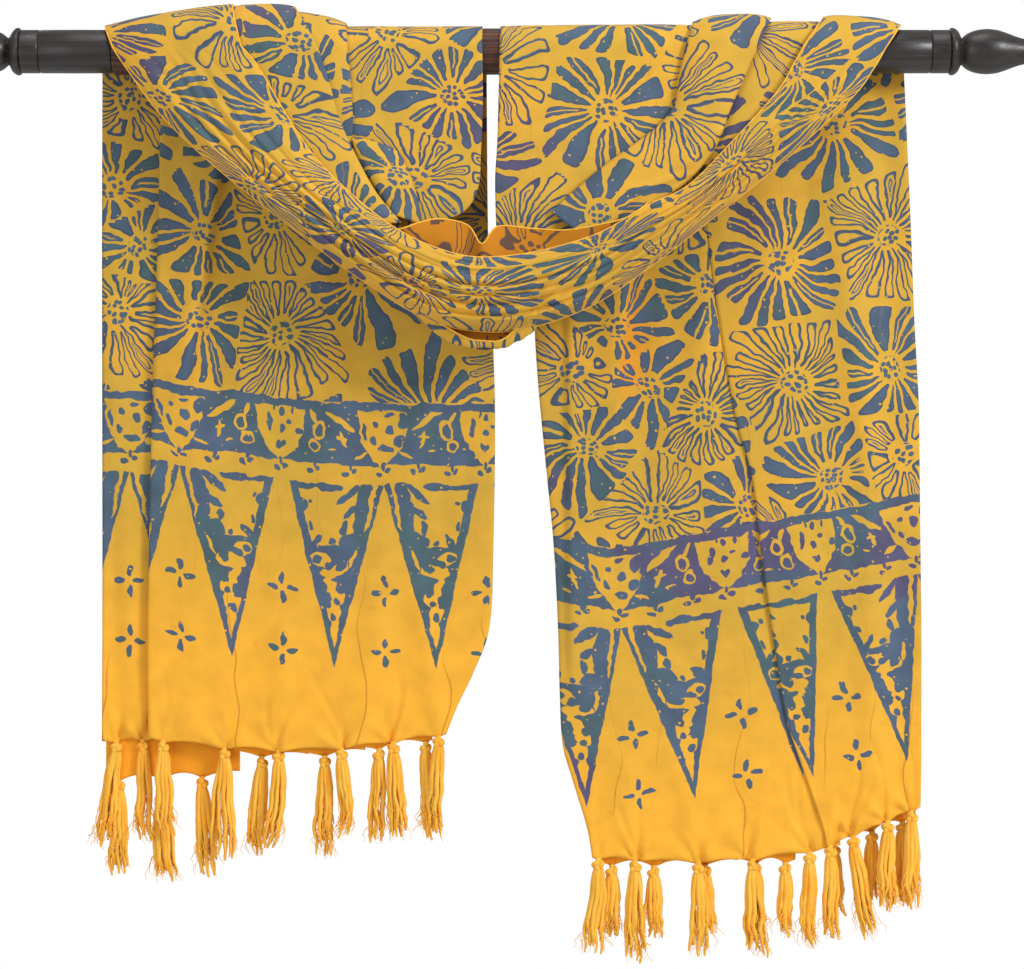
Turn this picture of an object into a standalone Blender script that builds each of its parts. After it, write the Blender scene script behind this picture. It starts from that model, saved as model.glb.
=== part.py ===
"""Batik sarong draped over a turned wooden rod: its solids, in metres, +Z up.

The origin is on the rod's axis, midway between its two end rings. +X runs along the rod and -Y faces the viewer.
One fringed cloth hangs with both ends behind the rod, and its middle comes over the top as a swag in front.
Each stretch of the cloth that shows is a wall of its own, lofted through a short table of sections.
"""

import math
from collections import namedtuple

import bmesh
import bpy
import numpy as np
from mathutils import Matrix, Vector

WALL = 0.0012  # thickness of every cloth wall
SEAM = 0.0003  # gap between touching pieces
POLE_RADIUS = 0.0180  # reeded middle of the rod
POLE_HALF = 0.2900
SLEEVE_RADIUS = 0.0168
SLEEVE_END = 0.3620
REEDS = 22
REED_DEPTH = 0.0006
ROD_SIDES = 20
FOLD_RADIUS = 0.0020  # round edge where a fall folds back on itself
OVER_ROD_STEPS = 6  # sections between the crest and the level of the rod's axis
HEM_STRIP = 0.0024  # height of the strip that the tassels grow from
LOCKS = 3  # locks in each tassel

DYE = (0.93, 0.55, 0.07, 1.0)
POLE_WOOD = (0.13, 0.035, 0.02, 1.0)
EBONY = (0.022, 0.018, 0.017, 1.0)

# A section of cloth runs from edge a to edge b, bulging outwards between them.
Row = namedtuple("Row", "ax ay az bx by bz bulge")
# A fall is flat, so one depth serves both its edges.
FallRow = namedtuple("FallRow", "ax az bx bz")
# A soft ridge on a fall, from its top to its foot; a negative height is a valley.
Ridge = namedtuple("Ridge", "top_x top_z foot_x foot_z width height")
# A strip of the crest over the rod and down the back: its edges, its dome, its depth behind and its hem.
Strip = namedtuple("Strip", "ax az bx bz dome ay by hem_ax hem_az hem_bx hem_bz")
Tassel = namedtuple("Tassel", "x length lean spread")


def material(name, colour, roughness):
    made = bpy.data.materials.new(name)
    made.use_nodes = True
    shader = made.node_tree.nodes["Principled BSDF"]
    shader.inputs["Base Color"].default_value = colour
    shader.inputs["Roughness"].default_value = roughness
    return made


def new_object(name, shape, finish):
    shape.normal_update()
    mesh = bpy.data.meshes.new(name)
    shape.to_mesh(mesh)
    shape.free()
    mesh.materials.append(finish)
    made = bpy.data.objects.new(name, mesh)
    bpy.context.scene.collection.objects.link(made)
    return made


def at_place(rows, place):
    """A table's row at a place between two of them, on a Catmull-Rom curve in every column."""
    table = np.array(rows, float)
    last = len(table) - 1
    i = min(int(place), last - 1)
    t = place - i
    before, here, after, beyond = (table[min(max(k, 0), last)] for k in range(i - 1, i + 3))
    linear = (after - before) * t
    square = (2 * before - 5 * here + 4 * after - beyond) * t * t
    cube = (3 * here - before - 3 * after + beyond) * t**3
    return (2 * here + linear + square + cube) / 2


def smooth_rows(rows, count):
    return [at_place(rows, place) for place in np.linspace(0, len(rows) - 1, count)]


def outward(point):
    """The way out of a cloth that lies over the rod: from the axis above it, and level below it."""
    return Vector((0, point.y, max(point.z, 0))).normalized()


def toward_viewer(point):
    return Vector((0, -1, 0))


def ridge_height(ridges, point):
    total = 0.0
    for ridge in ridges:
        share = (ridge.top_z - point.z) / (ridge.top_z - ridge.foot_z)
        if -0.25 < share < 1.25:
            fade = min(1.0, (share + 0.25) / 0.25, (1.25 - share) / 0.25)
            middle = ridge.top_x + (ridge.foot_x - ridge.top_x) * share
            total += ridge.height * fade * math.exp(-(((point.x - middle) / ridge.width) ** 2))
    return total


def turned_back(edge, across, out, length):
    """The round edge and the return behind it, from the free end to the front."""
    radius = FOLD_RADIUS
    near, far = 1 - math.sqrt(0.5), 1 + math.sqrt(0.5)
    return [
        edge + across * length - out * 2 * radius,
        edge + across * radius - out * 2 * radius,
        edge + across * radius * near - out * radius * far,
        edge - out * radius,
        edge + across * radius * near - out * radius * near,
    ]


def section(row, count, facing, ridges=(), back_a=0.0, back_b=0.0):
    """The points of one section, from edge a to edge b, with any returns behind it."""
    row = Row(*row)
    a, b = Vector((row.ax, row.ay, row.az)), Vector((row.bx, row.by, row.bz))
    out = facing((a + b) / 2)
    across = (b - a).normalized()
    inset_a = FOLD_RADIUS if back_a else 0.0
    inset_b = FOLD_RADIUS if back_b else 0.0
    start, end = a + across * inset_a, b - across * inset_b
    points = []
    for t in np.linspace(0, 1, count):
        point = start.lerp(end, t)
        lift = row.bulge * (1 - abs(2 * t - 1) ** 3) + ridge_height(ridges, point)
        points.append(point + out * lift)
    if back_a:
        points = turned_back(a, across, out, back_a) + points
    if back_b:
        points = points + turned_back(b, -across, out, back_b)[::-1]
    return points


def wall(name, sections, finish):
    """One closed cloth wall lofted through its sections."""
    shape = bmesh.new()
    grid = [[shape.verts.new(point) for point in line] for line in sections]
    for upper, lower in zip(grid, grid[1:]):
        for i in range(len(upper) - 1):
            shape.faces.new((upper[i], upper[i + 1], lower[i + 1], lower[i]))
    made = new_object(name, shape, finish)
    made.data.shade_smooth()
    thick = made.modifiers.new("Wall", "SOLIDIFY")
    thick.thickness = WALL
    thick.offset = 0.0
    thick.use_even_offset = False
    return made


def over_rod(crest, side):
    """Rows on a quarter ellipse from the crest line to the level of the rod's axis."""
    rows = []
    for angle in np.linspace(0, math.pi / 2, OVER_ROD_STEPS):
        up, along = math.cos(angle), math.sin(angle)
        share = 1 - up
        rows.append(
            Row(
                crest.ax + (side.ax - crest.ax) * share,
                side.ay * along,
                crest.az * up + side.az * share,
                crest.bx + (side.bx - crest.bx) * share,
                side.by * along,
                crest.bz * up + side.bz * share,
                crest.bulge + (side.bulge - crest.bulge) * along,
            )
        )
    return rows


# The stretches that lie over the rod: at the crest, behind the rod and at the hem. Each laps the next by its edge.
LEFT_STRIPS = {
    "outer": Strip(-0.2960, 0.0200, -0.1970, 0.0366, 0.0010, 0.0305, 0.0328, -0.3000, -0.5740, -0.1950, -0.5700),
    "second": Strip(-0.2050, 0.0322, -0.1480, 0.0345, 0.0035, 0.0302, 0.0302, -0.2000, -0.5540, -0.1400, -0.5555),
    "third": Strip(-0.1580, 0.0305, -0.1080, 0.0214, 0.0030, 0.0276, 0.0276, -0.1500, -0.5550, -0.0950, -0.5520),
    "inner": Strip(-0.1200, 0.0193, -0.0020, 0.0193, 0.0000, 0.0250, 0.0250, -0.1050, -0.5510, -0.0420, -0.5420),
}
RIGHT_STRIPS = {
    "outer": Strip(0.2640, 0.0265, 0.3240, 0.0205, 0.0030, 0.0299, 0.0302, 0.2350, -0.6370, 0.3400, -0.6030),
    "second": Strip(0.2160, 0.0222, 0.2740, 0.0222, 0.0010, 0.0276, 0.0276, 0.1900, -0.6390, 0.2450, -0.6380),
    "wide": Strip(0.1620, 0.0225, 0.2230, 0.0258, 0.0045, 0.0298, 0.0301, 0.1300, -0.6410, 0.2000, -0.6400),
    "inner": Strip(0.0120, 0.0193, 0.1720, 0.0200, 0.0010, 0.0274, 0.0274, 0.0920, -0.6400, 0.1400, -0.6410),
}


def crest_row(strip):
    return Row(strip.ax, 0, strip.az, strip.bx, 0, strip.bz, strip.dome)


def turned_over(row):
    return Row(row.bx, row.by, row.bz, row.ax, row.ay, row.az, row.bulge)


def back_rows(strip):
    """From the crest, over the back of the rod and down to the hem."""
    side = Row(strip.ax, strip.ay, 0, strip.bx, strip.by, 0, strip.dome * 0.4)
    hem = Row(strip.hem_ax, strip.ay, strip.hem_az, strip.hem_bx, strip.by, strip.hem_bz, 0.0008)
    falling = [Row(*(np.array(side) + (np.array(hem) - side) * share)) for share in (0.1, 0.3, 0.55, 0.8, 1.0)]
    return over_rod(crest_row(strip), side) + falling


# The swag's front: edge a is its low, outer edge and edge b its upper rim.
SWAG_ROWS = [
    Row(-0.2880, -0.0195, 0.0000, -0.1880, -0.0310, 0.0000, 0.0040),
    Row(-0.2765, -0.0200, -0.0170, -0.1740, -0.0315, -0.0170, 0.0060),
    Row(-0.2505, -0.0230, -0.0520, -0.1520, -0.0340, -0.0546, 0.0080),
    Row(-0.2110, -0.0290, -0.0900, -0.1300, -0.0380, -0.0870, 0.0100),
    Row(-0.1630, -0.0350, -0.1290, -0.0970, -0.0430, -0.1200, 0.0120),
    Row(-0.0970, -0.0420, -0.1790, -0.0620, -0.0500, -0.1460, 0.0140),
    Row(-0.0420, -0.0460, -0.2120, -0.0250, -0.0540, -0.1580, 0.0160),
    Row(0.0040, -0.0480, -0.2210, 0.0040, -0.0560, -0.1610, 0.0160),
    Row(0.0430, -0.0470, -0.2155, 0.0430, -0.0550, -0.1560, 0.0160),
    Row(0.0870, -0.0450, -0.1980, 0.0870, -0.0530, -0.1466, 0.0140),
    Row(0.1330, -0.0410, -0.1660, 0.1240, -0.0480, -0.1250, 0.0120),
    Row(0.1790, -0.0360, -0.1300, 0.1560, -0.0430, -0.1090, 0.0100),
    Row(0.2250, -0.0310, -0.0930, 0.1900, -0.0390, -0.0750, 0.0090),
    Row(0.2820, -0.0250, -0.0405, 0.2250, -0.0340, -0.0360, 0.0070),
    Row(0.3000, -0.0220, -0.0170, 0.2390, -0.0310, -0.0125, 0.0060),
    Row(0.3100, -0.0205, 0.0000, 0.2460, -0.0300, 0.0000, 0.0050),
]
SWAG_ACROSS = 10
SWAG_ALONG = 31
SWAG_CURL = 0.0060  # how far the low edge turns under

# Long gathers along the swag: where each lies between the low edge (0) and the rim (1), its width and its height.
Gather = namedtuple("Gather", "place width height")
SWAG_GATHERS = [
    Gather(0.12, 0.07, 0.0022),
    Gather(0.36, 0.06, -0.0016),
    Gather(0.55, 0.08, 0.0016),
    Gather(0.80, 0.06, -0.0012),
]


def swag_strength(place):
    """How far the swag is gathered at a place along its table: none at the rod, all in the middle."""
    return max(0.0, math.sin(math.pi * place / (len(SWAG_ROWS) - 1))) ** 1.5


def swag_section(row, strength):
    """A section of the swag, gathered along its length and curled under at its low edge."""
    points = section(row, SWAG_ACROSS, outward)
    out = outward((points[0] + points[-1]) / 2)
    for i, t in enumerate(np.linspace(0, 1, SWAG_ACROSS)):
        for gather in SWAG_GATHERS:
            lift = gather.height * math.exp(-(((t - gather.place) / gather.width) ** 2))
            points[i] += out * lift * strength
    points[0] -= out * SWAG_CURL * strength
    return points


def swag(finish):
    start = over_rod(crest_row(LEFT_STRIPS["outer"]), SWAG_ROWS[0])[:-1]
    end = over_rod(turned_over(crest_row(RIGHT_STRIPS["outer"])), SWAG_ROWS[-1])[:-1][::-1]
    start[0] = start[0]._replace(ay=-SEAM, by=-SEAM)
    end[-1] = end[-1]._replace(ay=-SEAM, by=-SEAM)
    sections = [swag_section(row, 0) for row in start]
    for place in np.linspace(0, len(SWAG_ROWS) - 1, SWAG_ALONG):
        sections.append(swag_section(at_place(SWAG_ROWS, place), swag_strength(place)))
    sections += [swag_section(row, 0) for row in end]
    return wall("swag", sections, finish)


# The back wall of the swag's pocket rises from its low edge to a free rim, in two lobes.
Rim = namedtuple("Rim", "place x y z")
POCKET_RIM = [
    Rim(4.95, -0.0730, -0.0440, -0.1440),
    Rim(5.35, -0.0630, -0.0420, -0.1420),
    Rim(5.75, -0.0500, -0.0385, -0.1370),
    Rim(6.15, -0.0340, -0.0360, -0.1340),
    Rim(6.55, -0.0130, -0.0370, -0.1390),
    Rim(6.85, -0.0020, -0.0420, -0.1537),
    Rim(7.15, 0.0100, -0.0370, -0.1400),
    Rim(7.80, 0.0360, -0.0370, -0.1415),
    Rim(8.40, 0.0620, -0.0395, -0.1430),
    Rim(9.00, 0.0880, -0.0420, -0.1390),
    Rim(9.60, 0.1100, -0.0430, -0.1330),
    Rim(10.15, 0.1280, -0.0420, -0.1200),
]
POCKET_SEAT = (0.0, 0.0019, 0.0008)  # from the swag's low edge to the pocket's foot
POCKET_BELLY = -0.0030


def pocket(along, across, finish):
    sections = []
    for row in smooth_rows(POCKET_RIM, along):
        rim = Rim(*row)
        foot = swag_section(at_place(SWAG_ROWS, rim.place), swag_strength(rim.place))[0] + Vector(POCKET_SEAT)
        sections.append(section(Row(*foot, rim.x, rim.y, rim.z, POCKET_BELLY), across, toward_viewer))
    return wall("swag_pocket", sections, finish)


# The fold of cloth that hangs a little below the swag: edge a in front, edge b behind.
LOWER_FOLD_ROWS = [
    Row(-0.0560, -0.0400, -0.2056, -0.0560, -0.0310, -0.2044, 0.0010),
    Row(-0.0400, -0.0420, -0.2170, -0.0400, -0.0290, -0.2120, 0.0050),
    Row(-0.0240, -0.0435, -0.2250, -0.0240, -0.0270, -0.2180, 0.0075),
    Row(-0.0050, -0.0440, -0.2285, -0.0050, -0.0260, -0.2210, 0.0095),
    Row(0.0140, -0.0440, -0.2290, 0.0140, -0.0260, -0.2210, 0.0100),
    Row(0.0290, -0.0430, -0.2260, 0.0290, -0.0270, -0.2200, 0.0090),
    Row(0.0420, -0.0410, -0.2176, 0.0420, -0.0290, -0.2154, 0.0040),
]


def downward(point):
    return Vector((0, 0, -1))


# The pleats in front of the rod, below the level of its axis: edge a is the left edge.
LEFT_SECOND = [
    Row(-0.1960, -0.0270, 0.0000, -0.1290, -0.0280, 0.0000, 0.0020),
    Row(-0.1850, -0.0272, -0.0200, -0.1205, -0.0284, -0.0250, 0.0028),
    Row(-0.1620, -0.0294, -0.0540, -0.1120, -0.0300, -0.0560, 0.0028),
    Row(-0.1390, -0.0334, -0.0860, -0.0990, -0.0330, -0.0850, 0.0028),
    Row(-0.1080, -0.0385, -0.1180, -0.0830, -0.0365, -0.1140, 0.0030),
    Row(-0.0860, -0.0430, -0.1400, -0.0640, -0.0395, -0.1370, 0.0015),
]
LEFT_THIRD = [
    Row(-0.1500, -0.0255, 0.0000, -0.1060, -0.0218, 0.0000, 0.0022),
    Row(-0.1420, -0.0258, -0.0200, -0.1040, -0.0220, -0.0200, 0.0020),
    Row(-0.1320, -0.0266, -0.0400, -0.1030, -0.0222, -0.0380, 0.0014),
    Row(-0.1200, -0.0280, -0.0600, -0.1020, -0.0230, -0.0560, 0.0005),
]
LEFT_TWIST = [
    Row(-0.1030, -0.0245, -0.0700, -0.0960, -0.0230, -0.0700, 0.0000),
    Row(-0.1000, -0.0262, -0.0830, -0.0700, -0.0232, -0.0790, 0.0030),
    Row(-0.0930, -0.0285, -0.0980, -0.0600, -0.0240, -0.0930, 0.0050),
    Row(-0.0820, -0.0312, -0.1140, -0.0530, -0.0252, -0.1130, 0.0050),
    Row(-0.0730, -0.0340, -0.1300, -0.0480, -0.0268, -0.1380, 0.0030),
]
LEFT_INNER = [
    Row(-0.1150, -0.0194, 0.0000, -0.0020, -0.0194, 0.0000, 0.0000),
    Row(-0.1100, -0.0196, -0.0400, -0.0015, -0.0194, -0.0400, 0.0005),
    Row(-0.1050, -0.0205, -0.0800, -0.0030, -0.0197, -0.0800, 0.0012),
    Row(-0.1000, -0.0220, -0.1120, -0.0050, -0.0205, -0.1080, 0.0015),
    Row(-0.0950, -0.0235, -0.1350, -0.0160, -0.0220, -0.1270, 0.0015),
    Row(-0.0850, -0.0250, -0.1560, -0.0420, -0.0240, -0.1400, 0.0010),
    Row(-0.0720, -0.0270, -0.1800, -0.0480, -0.0265, -0.1700, 0.0005),
]
RIGHT_SECOND = [
    Row(0.2040, -0.0232, 0.0000, 0.2530, -0.0248, 0.0000, 0.0005),
    Row(0.1900, -0.0240, -0.0300, 0.2330, -0.0280, -0.0320, 0.0005),
    Row(0.1720, -0.0255, -0.0620, 0.2050, -0.0320, -0.0640, 0.0005),
    Row(0.1500, -0.0275, -0.0900, 0.1760, -0.0350, -0.0930, 0.0005),
]
RIGHT_WIDE = [
    Row(0.1550, -0.0240, 0.0000, 0.2110, -0.0272, 0.0000, 0.0035),
    Row(0.1490, -0.0242, -0.0265, 0.1980, -0.0300, -0.0290, 0.0040),
    Row(0.1450, -0.0250, -0.0480, 0.1880, -0.0325, -0.0520, 0.0040),
    Row(0.1250, -0.0262, -0.0680, 0.1780, -0.0358, -0.0780, 0.0035),
    Row(0.0960, -0.0277, -0.0890, 0.1550, -0.0378, -0.1060, 0.0030),
    Row(0.0720, -0.0290, -0.1090, 0.1180, -0.0385, -0.1290, 0.0020),
    Row(0.0510, -0.0305, -0.1280, 0.0780, -0.0360, -0.1500, 0.0010),
]
RIGHT_INNER = [
    Row(0.0115, -0.0194, 0.0000, 0.1680, -0.0204, 0.0000, 0.0003),
    Row(0.0105, -0.0194, -0.0400, 0.1600, -0.0206, -0.0400, 0.0005),
    Row(0.0095, -0.0197, -0.0750, 0.1350, -0.0216, -0.0750, 0.0015),
    Row(0.0080, -0.0205, -0.1000, 0.1050, -0.0233, -0.1000, 0.0018),
    Row(0.0085, -0.0230, -0.1300, 0.0720, -0.0250, -0.1300, 0.0015),
    Row(0.0100, -0.0260, -0.1600, 0.0560, -0.0270, -0.1600, 0.0010),
]


def over_pleat(name, strip, rows, along, across, finish):
    """A stretch from its hem up the back, over the rod and down the front into the swag."""
    front = [Row(*row) for row in smooth_rows(rows, along)]
    lines = back_rows(strip)[::-1] + over_rod(crest_row(strip), front[0])[1:-1] + front
    return wall(name, [section(row, across, outward) for row in lines], finish)


def loose_pleat(name, rows, along, across, facing, finish):
    lines = smooth_rows(rows, along)
    return wall(name, [section(row, across, facing) for row in lines], finish)


LEFT_FRONT = [
    FallRow(-0.2555, 0.0000, 0.0050, 0.0000),
    FallRow(-0.2560, -0.0500, 0.0060, -0.0500),
    FallRow(-0.2583, -0.1500, 0.0070, -0.1500),
    FallRow(-0.2625, -0.2700, 0.0076, -0.2700),
    FallRow(-0.2650, -0.3900, 0.0060, -0.3900),
    FallRow(-0.2660, -0.4450, 0.0030, -0.4500),
    FallRow(-0.2661, -0.4850, -0.0090, -0.4850),
    FallRow(-0.2657, -0.5150, -0.0215, -0.5120),
    FallRow(-0.2654, -0.5340, -0.0310, -0.5365),
]
LEFT_FRONT_RIDGES = [
    Ridge(-0.2120, -0.0700, -0.2380, -0.2500, 0.015, 0.0055),
    Ridge(-0.1850, -0.0700, -0.2050, -0.2600, 0.018, -0.0018),
    Ridge(-0.0800, -0.4000, -0.1000, -0.5300, 0.014, 0.0030),
    Ridge(-0.1600, -0.4600, -0.1640, -0.5400, 0.010, 0.0024),
    Ridge(-0.0500, -0.4300, -0.0380, -0.5300, 0.010, 0.0024),
]
LEFT_SIDE = [
    FallRow(-0.3025, -0.0040, -0.2400, -0.0040),
    FallRow(-0.3028, -0.1300, -0.2400, -0.1300),
    FallRow(-0.3026, -0.3000, -0.2420, -0.3000),
    FallRow(-0.3026, -0.4500, -0.2420, -0.4500),
    FallRow(-0.3030, -0.5435, -0.2420, -0.5405),
]
LEFT_SIDE_RIDGES = [
    Ridge(-0.2830, -0.3600, -0.2780, -0.5300, 0.010, 0.0024),
]
RIGHT_MIDDLE = [
    FallRow(0.0360, 0.0000, 0.2600, 0.0000),
    FallRow(0.0365, -0.1000, 0.2600, -0.1000),
    FallRow(0.0385, -0.2000, 0.2600, -0.2000),
    FallRow(0.0420, -0.2600, 0.2600, -0.2600),
    FallRow(0.0486, -0.3290, 0.2620, -0.3290),
    FallRow(0.0541, -0.3860, 0.2680, -0.3860),
    FallRow(0.0575, -0.4500, 0.2720, -0.4500),
    FallRow(0.0590, -0.5050, 0.2750, -0.5050),
    FallRow(0.0612, -0.5430, 0.2770, -0.5430),
    FallRow(0.0690, -0.5715, 0.2780, -0.5700),
    FallRow(0.0801, -0.6085, 0.2790, -0.6000),
    FallRow(0.0845, -0.6340, 0.2800, -0.6260),
]
RIGHT_MIDDLE_RIDGES = [
    Ridge(0.0880, -0.1800, 0.0840, -0.4400, 0.013, 0.0055),
    Ridge(0.1250, -0.1800, 0.1150, -0.4200, 0.016, -0.0014),
    Ridge(0.0560, -0.2200, 0.0640, -0.4800, 0.010, 0.0035),
    Ridge(0.1500, -0.5600, 0.1680, -0.6300, 0.012, 0.0022),
    Ridge(0.1050, -0.5500, 0.1180, -0.6300, 0.012, 0.0022),
]
RIGHT_FRONT = [
    FallRow(0.1500, 0.0000, 0.3290, 0.0000),
    FallRow(0.1600, -0.0500, 0.3315, -0.0500),
    FallRow(0.1728, -0.1340, 0.3350, -0.1300),
    FallRow(0.1850, -0.2150, 0.3380, -0.2100),
    FallRow(0.1972, -0.2860, 0.3412, -0.2700),
    FallRow(0.2095, -0.3300, 0.3420, -0.3200),
    FallRow(0.2165, -0.3860, 0.3425, -0.3700),
    FallRow(0.2224, -0.4290, 0.3430, -0.4100),
    FallRow(0.2287, -0.4710, 0.3435, -0.4500),
    FallRow(0.2373, -0.5225, 0.3435, -0.5000),
    FallRow(0.2484, -0.5570, 0.3435, -0.5300),
    FallRow(0.2570, -0.5820, 0.3435, -0.5530),
    FallRow(0.2657, -0.6080, 0.3432, -0.5760),
    FallRow(0.2696, -0.6255, 0.3428, -0.5940),
]
RIGHT_FRONT_RIDGES = [
    Ridge(0.2200, -0.1200, 0.2450, -0.4000, 0.018, 0.0030),
    Ridge(0.2980, -0.2600, 0.3080, -0.6000, 0.012, 0.0030),
    Ridge(0.3180, -0.3000, 0.3260, -0.6000, 0.010, -0.0016),
]
LEFT_FRONT_DEPTH = 0.0192
LEFT_SIDE_DEPTH = 0.0254
RIGHT_FRONT_DEPTH = 0.0192
RIGHT_MIDDLE_DEPTH = 0.0218
HEM_SAG = 0.0070  # how far a broad hem hangs below its corners


def fall(name, rows, depth, ridges, along, across, finish, back_a=0.0, back_b=0.0, sag=0.0):
    """A fall behind the rod, with its visible face towards the viewer. Returns its hem's middle line."""
    lines = smooth_rows(rows, along)
    sections = []
    for i, line in enumerate(lines):
        row = FallRow(*line)
        full = Row(row.ax, depth, row.az, row.bx, depth, row.bz, 0.0)
        points = section(full, across, toward_viewer, ridges, back_a, back_b)
        low = sag * (i / (len(lines) - 1)) ** 3
        for point in points:
            share = (point.x - row.ax) / (row.bx - row.ax)
            point.z -= low * math.sin(math.pi * min(max(share, 0), 1))
        sections.append(points)
    wall(name, sections, finish)
    front = 5 if back_a else 0
    return sections[-1][front : front + across]


HEM_STEP = 0.0070  # run over which a fringe steps from one stretch's hem to the next


def hem_of_strips(strips, names):
    """One line along the hems of neighbouring stretches, from left to right."""
    line = []
    for name in names:
        strip = strips[name]
        a = Vector((strip.hem_ax, strip.ay, strip.hem_az))
        b = Vector((strip.hem_bx, strip.by, strip.hem_bz))
        start = line[-1].x + HEM_STEP if line else a.x
        line += [a.lerp(b, (start - a.x) / (b.x - a.x)), b]
    return line


def on_line(line, x):
    """The point of a hem line at x."""
    xs = [point.x for point in line]
    return Vector((x, np.interp(x, xs, [p.y for p in line]), np.interp(x, xs, [p.z for p in line])))


KNOT_TOP = 0.0045  # widths of a tassel's knot, and how far it hangs
KNOT_WIDE = 0.0095
KNOT_DROP = 0.0042
KNOT_LENGTH = 0.0090
KNOT_FLAT = 0.5  # depth of a knot over its width
LOCK_GAP = 0.00025
LOCK_GIRTHS = ((0.5, 1.75), (0.5, 0.85))  # share of its length, and how its girth changes over it


def ring(shape, centre, width, depth):
    """A loop of eight points: four along the front and four along the back."""
    xs = np.linspace(-width / 2, width / 2, LOCKS + 1)
    front = [shape.verts.new(centre + Vector((x, -depth / 2, 0))) for x in xs]
    back = [shape.verts.new(centre + Vector((x, depth / 2, 0))) for x in xs[::-1]]
    return front + back


def bridge(shape, upper, lower):
    count = len(upper)
    for i in range(count):
        j = (i + 1) % count
        shape.faces.new((upper[i], lower[i], lower[j], upper[j]))


def fringe(name, line, tassels, finish):
    """A narrow strip just below a hem, with its tassels: each a knot and its hanging locks."""
    shape = bmesh.new()
    drop = Vector((0, 0, SEAM))
    half = Vector((0, WALL / 2, 0))
    height = Vector((0, 0, HEM_STRIP))

    def column(x):
        point = on_line(line, x) - drop
        low = point - height
        return [shape.verts.new(p) for p in (point - half, point + half, low + half, low - half)]

    def join(left, right, sides):
        for i in sides:
            shape.faces.new((left[i], left[(i + 1) % 4], right[(i + 1) % 4], right[i]))

    before = None
    for tassel in tassels:
        group = [column(tassel.x + x) for x in np.linspace(-KNOT_TOP / 2, KNOT_TOP / 2, LOCKS + 1)]
        if before is None:
            shape.faces.new(group[0][::-1])
        else:
            bends = [p.x for p in line if before[0].co.x + SEAM < p.x < group[0][0].co.x - SEAM]
            for x in bends:
                bend = column(x)
                join(before, bend, range(4))
                before = bend
            join(before, group[0], range(4))
        for left, right in zip(group, group[1:]):
            join(left, right, (0, 1, 3))
        before = group[-1]
        top = [part[3] for part in group] + [part[2] for part in group[::-1]]
        centre = sum((vert.co for vert in top), Vector()) / len(top)
        wide = ring(shape, centre - Vector((0, 0, KNOT_DROP)), KNOT_WIDE, KNOT_WIDE * KNOT_FLAT)
        low = ring(shape, centre - Vector((0, 0, KNOT_LENGTH)), KNOT_WIDE * 0.8, KNOT_WIDE * KNOT_FLAT * 0.7)
        bridge(shape, top, wide)
        bridge(shape, wide, low)
        caps = [shape.faces.new((low[i], low[-1 - i], low[-2 - i], low[i + 1])) for i in range(LOCKS)]
        grow_locks(shape, caps, tassel)
    shape.faces.new(before)
    bmesh.ops.recalc_face_normals(shape, faces=shape.faces[:])
    return new_object(name, shape, finish)


def grow_locks(shape, caps, tassel):
    """Hangs a four-sided lock from each cap, leaning and spreading as it goes down."""
    shape.normal_update()
    bmesh.ops.inset_individual(shape, faces=caps, thickness=LOCK_GAP)
    hang = tassel.length - KNOT_LENGTH
    for number, cap in enumerate(caps):
        side = (number - (LOCKS - 1) / 2) / ((LOCKS - 1) / 2)
        face = cap
        for share, girth in LOCK_GIRTHS:
            out = bmesh.ops.extrude_discrete_faces(shape, faces=[face])["faces"]
            face = out[0]
            way = tassel.lean + tassel.spread * side
            depth = 0.01 * (1 if number % 2 else -1)
            step = Vector((way, depth, -1)) * hang * share * (1 - 0.08 * (number % 2))
            bmesh.ops.translate(shape, verts=face.verts[:], vec=step)
            middle = face.calc_center_median()
            bmesh.ops.scale(shape, verts=face.verts[:], vec=(girth,) * 3, space=Matrix.Translation(-middle))


LEFT_FRONT_TASSELS = [
    Tassel(-0.2540, 0.072, 0.02, 0.05),
    Tassel(-0.2060, 0.086, 0.00, 0.12),
    Tassel(-0.1630, 0.075, -0.06, 0.06),
    Tassel(-0.1134, 0.068, 0.08, 0.06),
    Tassel(-0.0725, 0.075, 0.05, 0.06),
    Tassel(-0.0370, 0.080, -0.06, 0.05),
]
LEFT_SIDE_TASSELS = [
    Tassel(-0.2920, 0.085, -0.16, 0.04),
    Tassel(-0.2710, 0.080, 0.02, 0.06),
]
LEFT_BACK_TASSELS = [
    Tassel(-0.2900, 0.072, 0.00, 0.10),
    Tassel(-0.2560, 0.080, 0.04, 0.08),
    Tassel(-0.2246, 0.076, 0.06, 0.10),
    Tassel(-0.1770, 0.076, -0.10, 0.06),
    Tassel(-0.1270, 0.078, 0.02, 0.08),
    Tassel(-0.0840, 0.072, -0.03, 0.08),
    Tassel(-0.0470, 0.074, 0.06, 0.06),
]
RIGHT_MIDDLE_TASSELS = [
    Tassel(0.0890, 0.072, -0.06, 0.09),
    Tassel(0.1180, 0.078, 0.03, 0.09),
    Tassel(0.1675, 0.072, 0.01, 0.08),
    Tassel(0.2106, 0.074, 0.06, 0.14),
    Tassel(0.2560, 0.072, -0.02, 0.06),
]
RIGHT_FRONT_TASSELS = [
    Tassel(0.2720, 0.074, 0.00, 0.05),
    Tassel(0.2900, 0.080, 0.14, 0.06),
    Tassel(0.3170, 0.068, -0.02, 0.08),
    Tassel(0.3360, 0.074, 0.00, 0.08),
]
RIGHT_BACK_TASSELS = [
    Tassel(0.1000, 0.056, 0.02, 0.06),
    Tassel(0.1330, 0.056, 0.00, 0.08),
    Tassel(0.1740, 0.054, 0.00, 0.08),
    Tassel(0.2140, 0.054, 0.02, 0.08),
    Tassel(0.2370, 0.056, 0.00, 0.08),
    Tassel(0.2760, 0.056, 0.02, 0.08),
    Tassel(0.3060, 0.060, 0.00, 0.08),
    Tassel(0.3300, 0.062, 0.00, 0.06),
]


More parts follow.
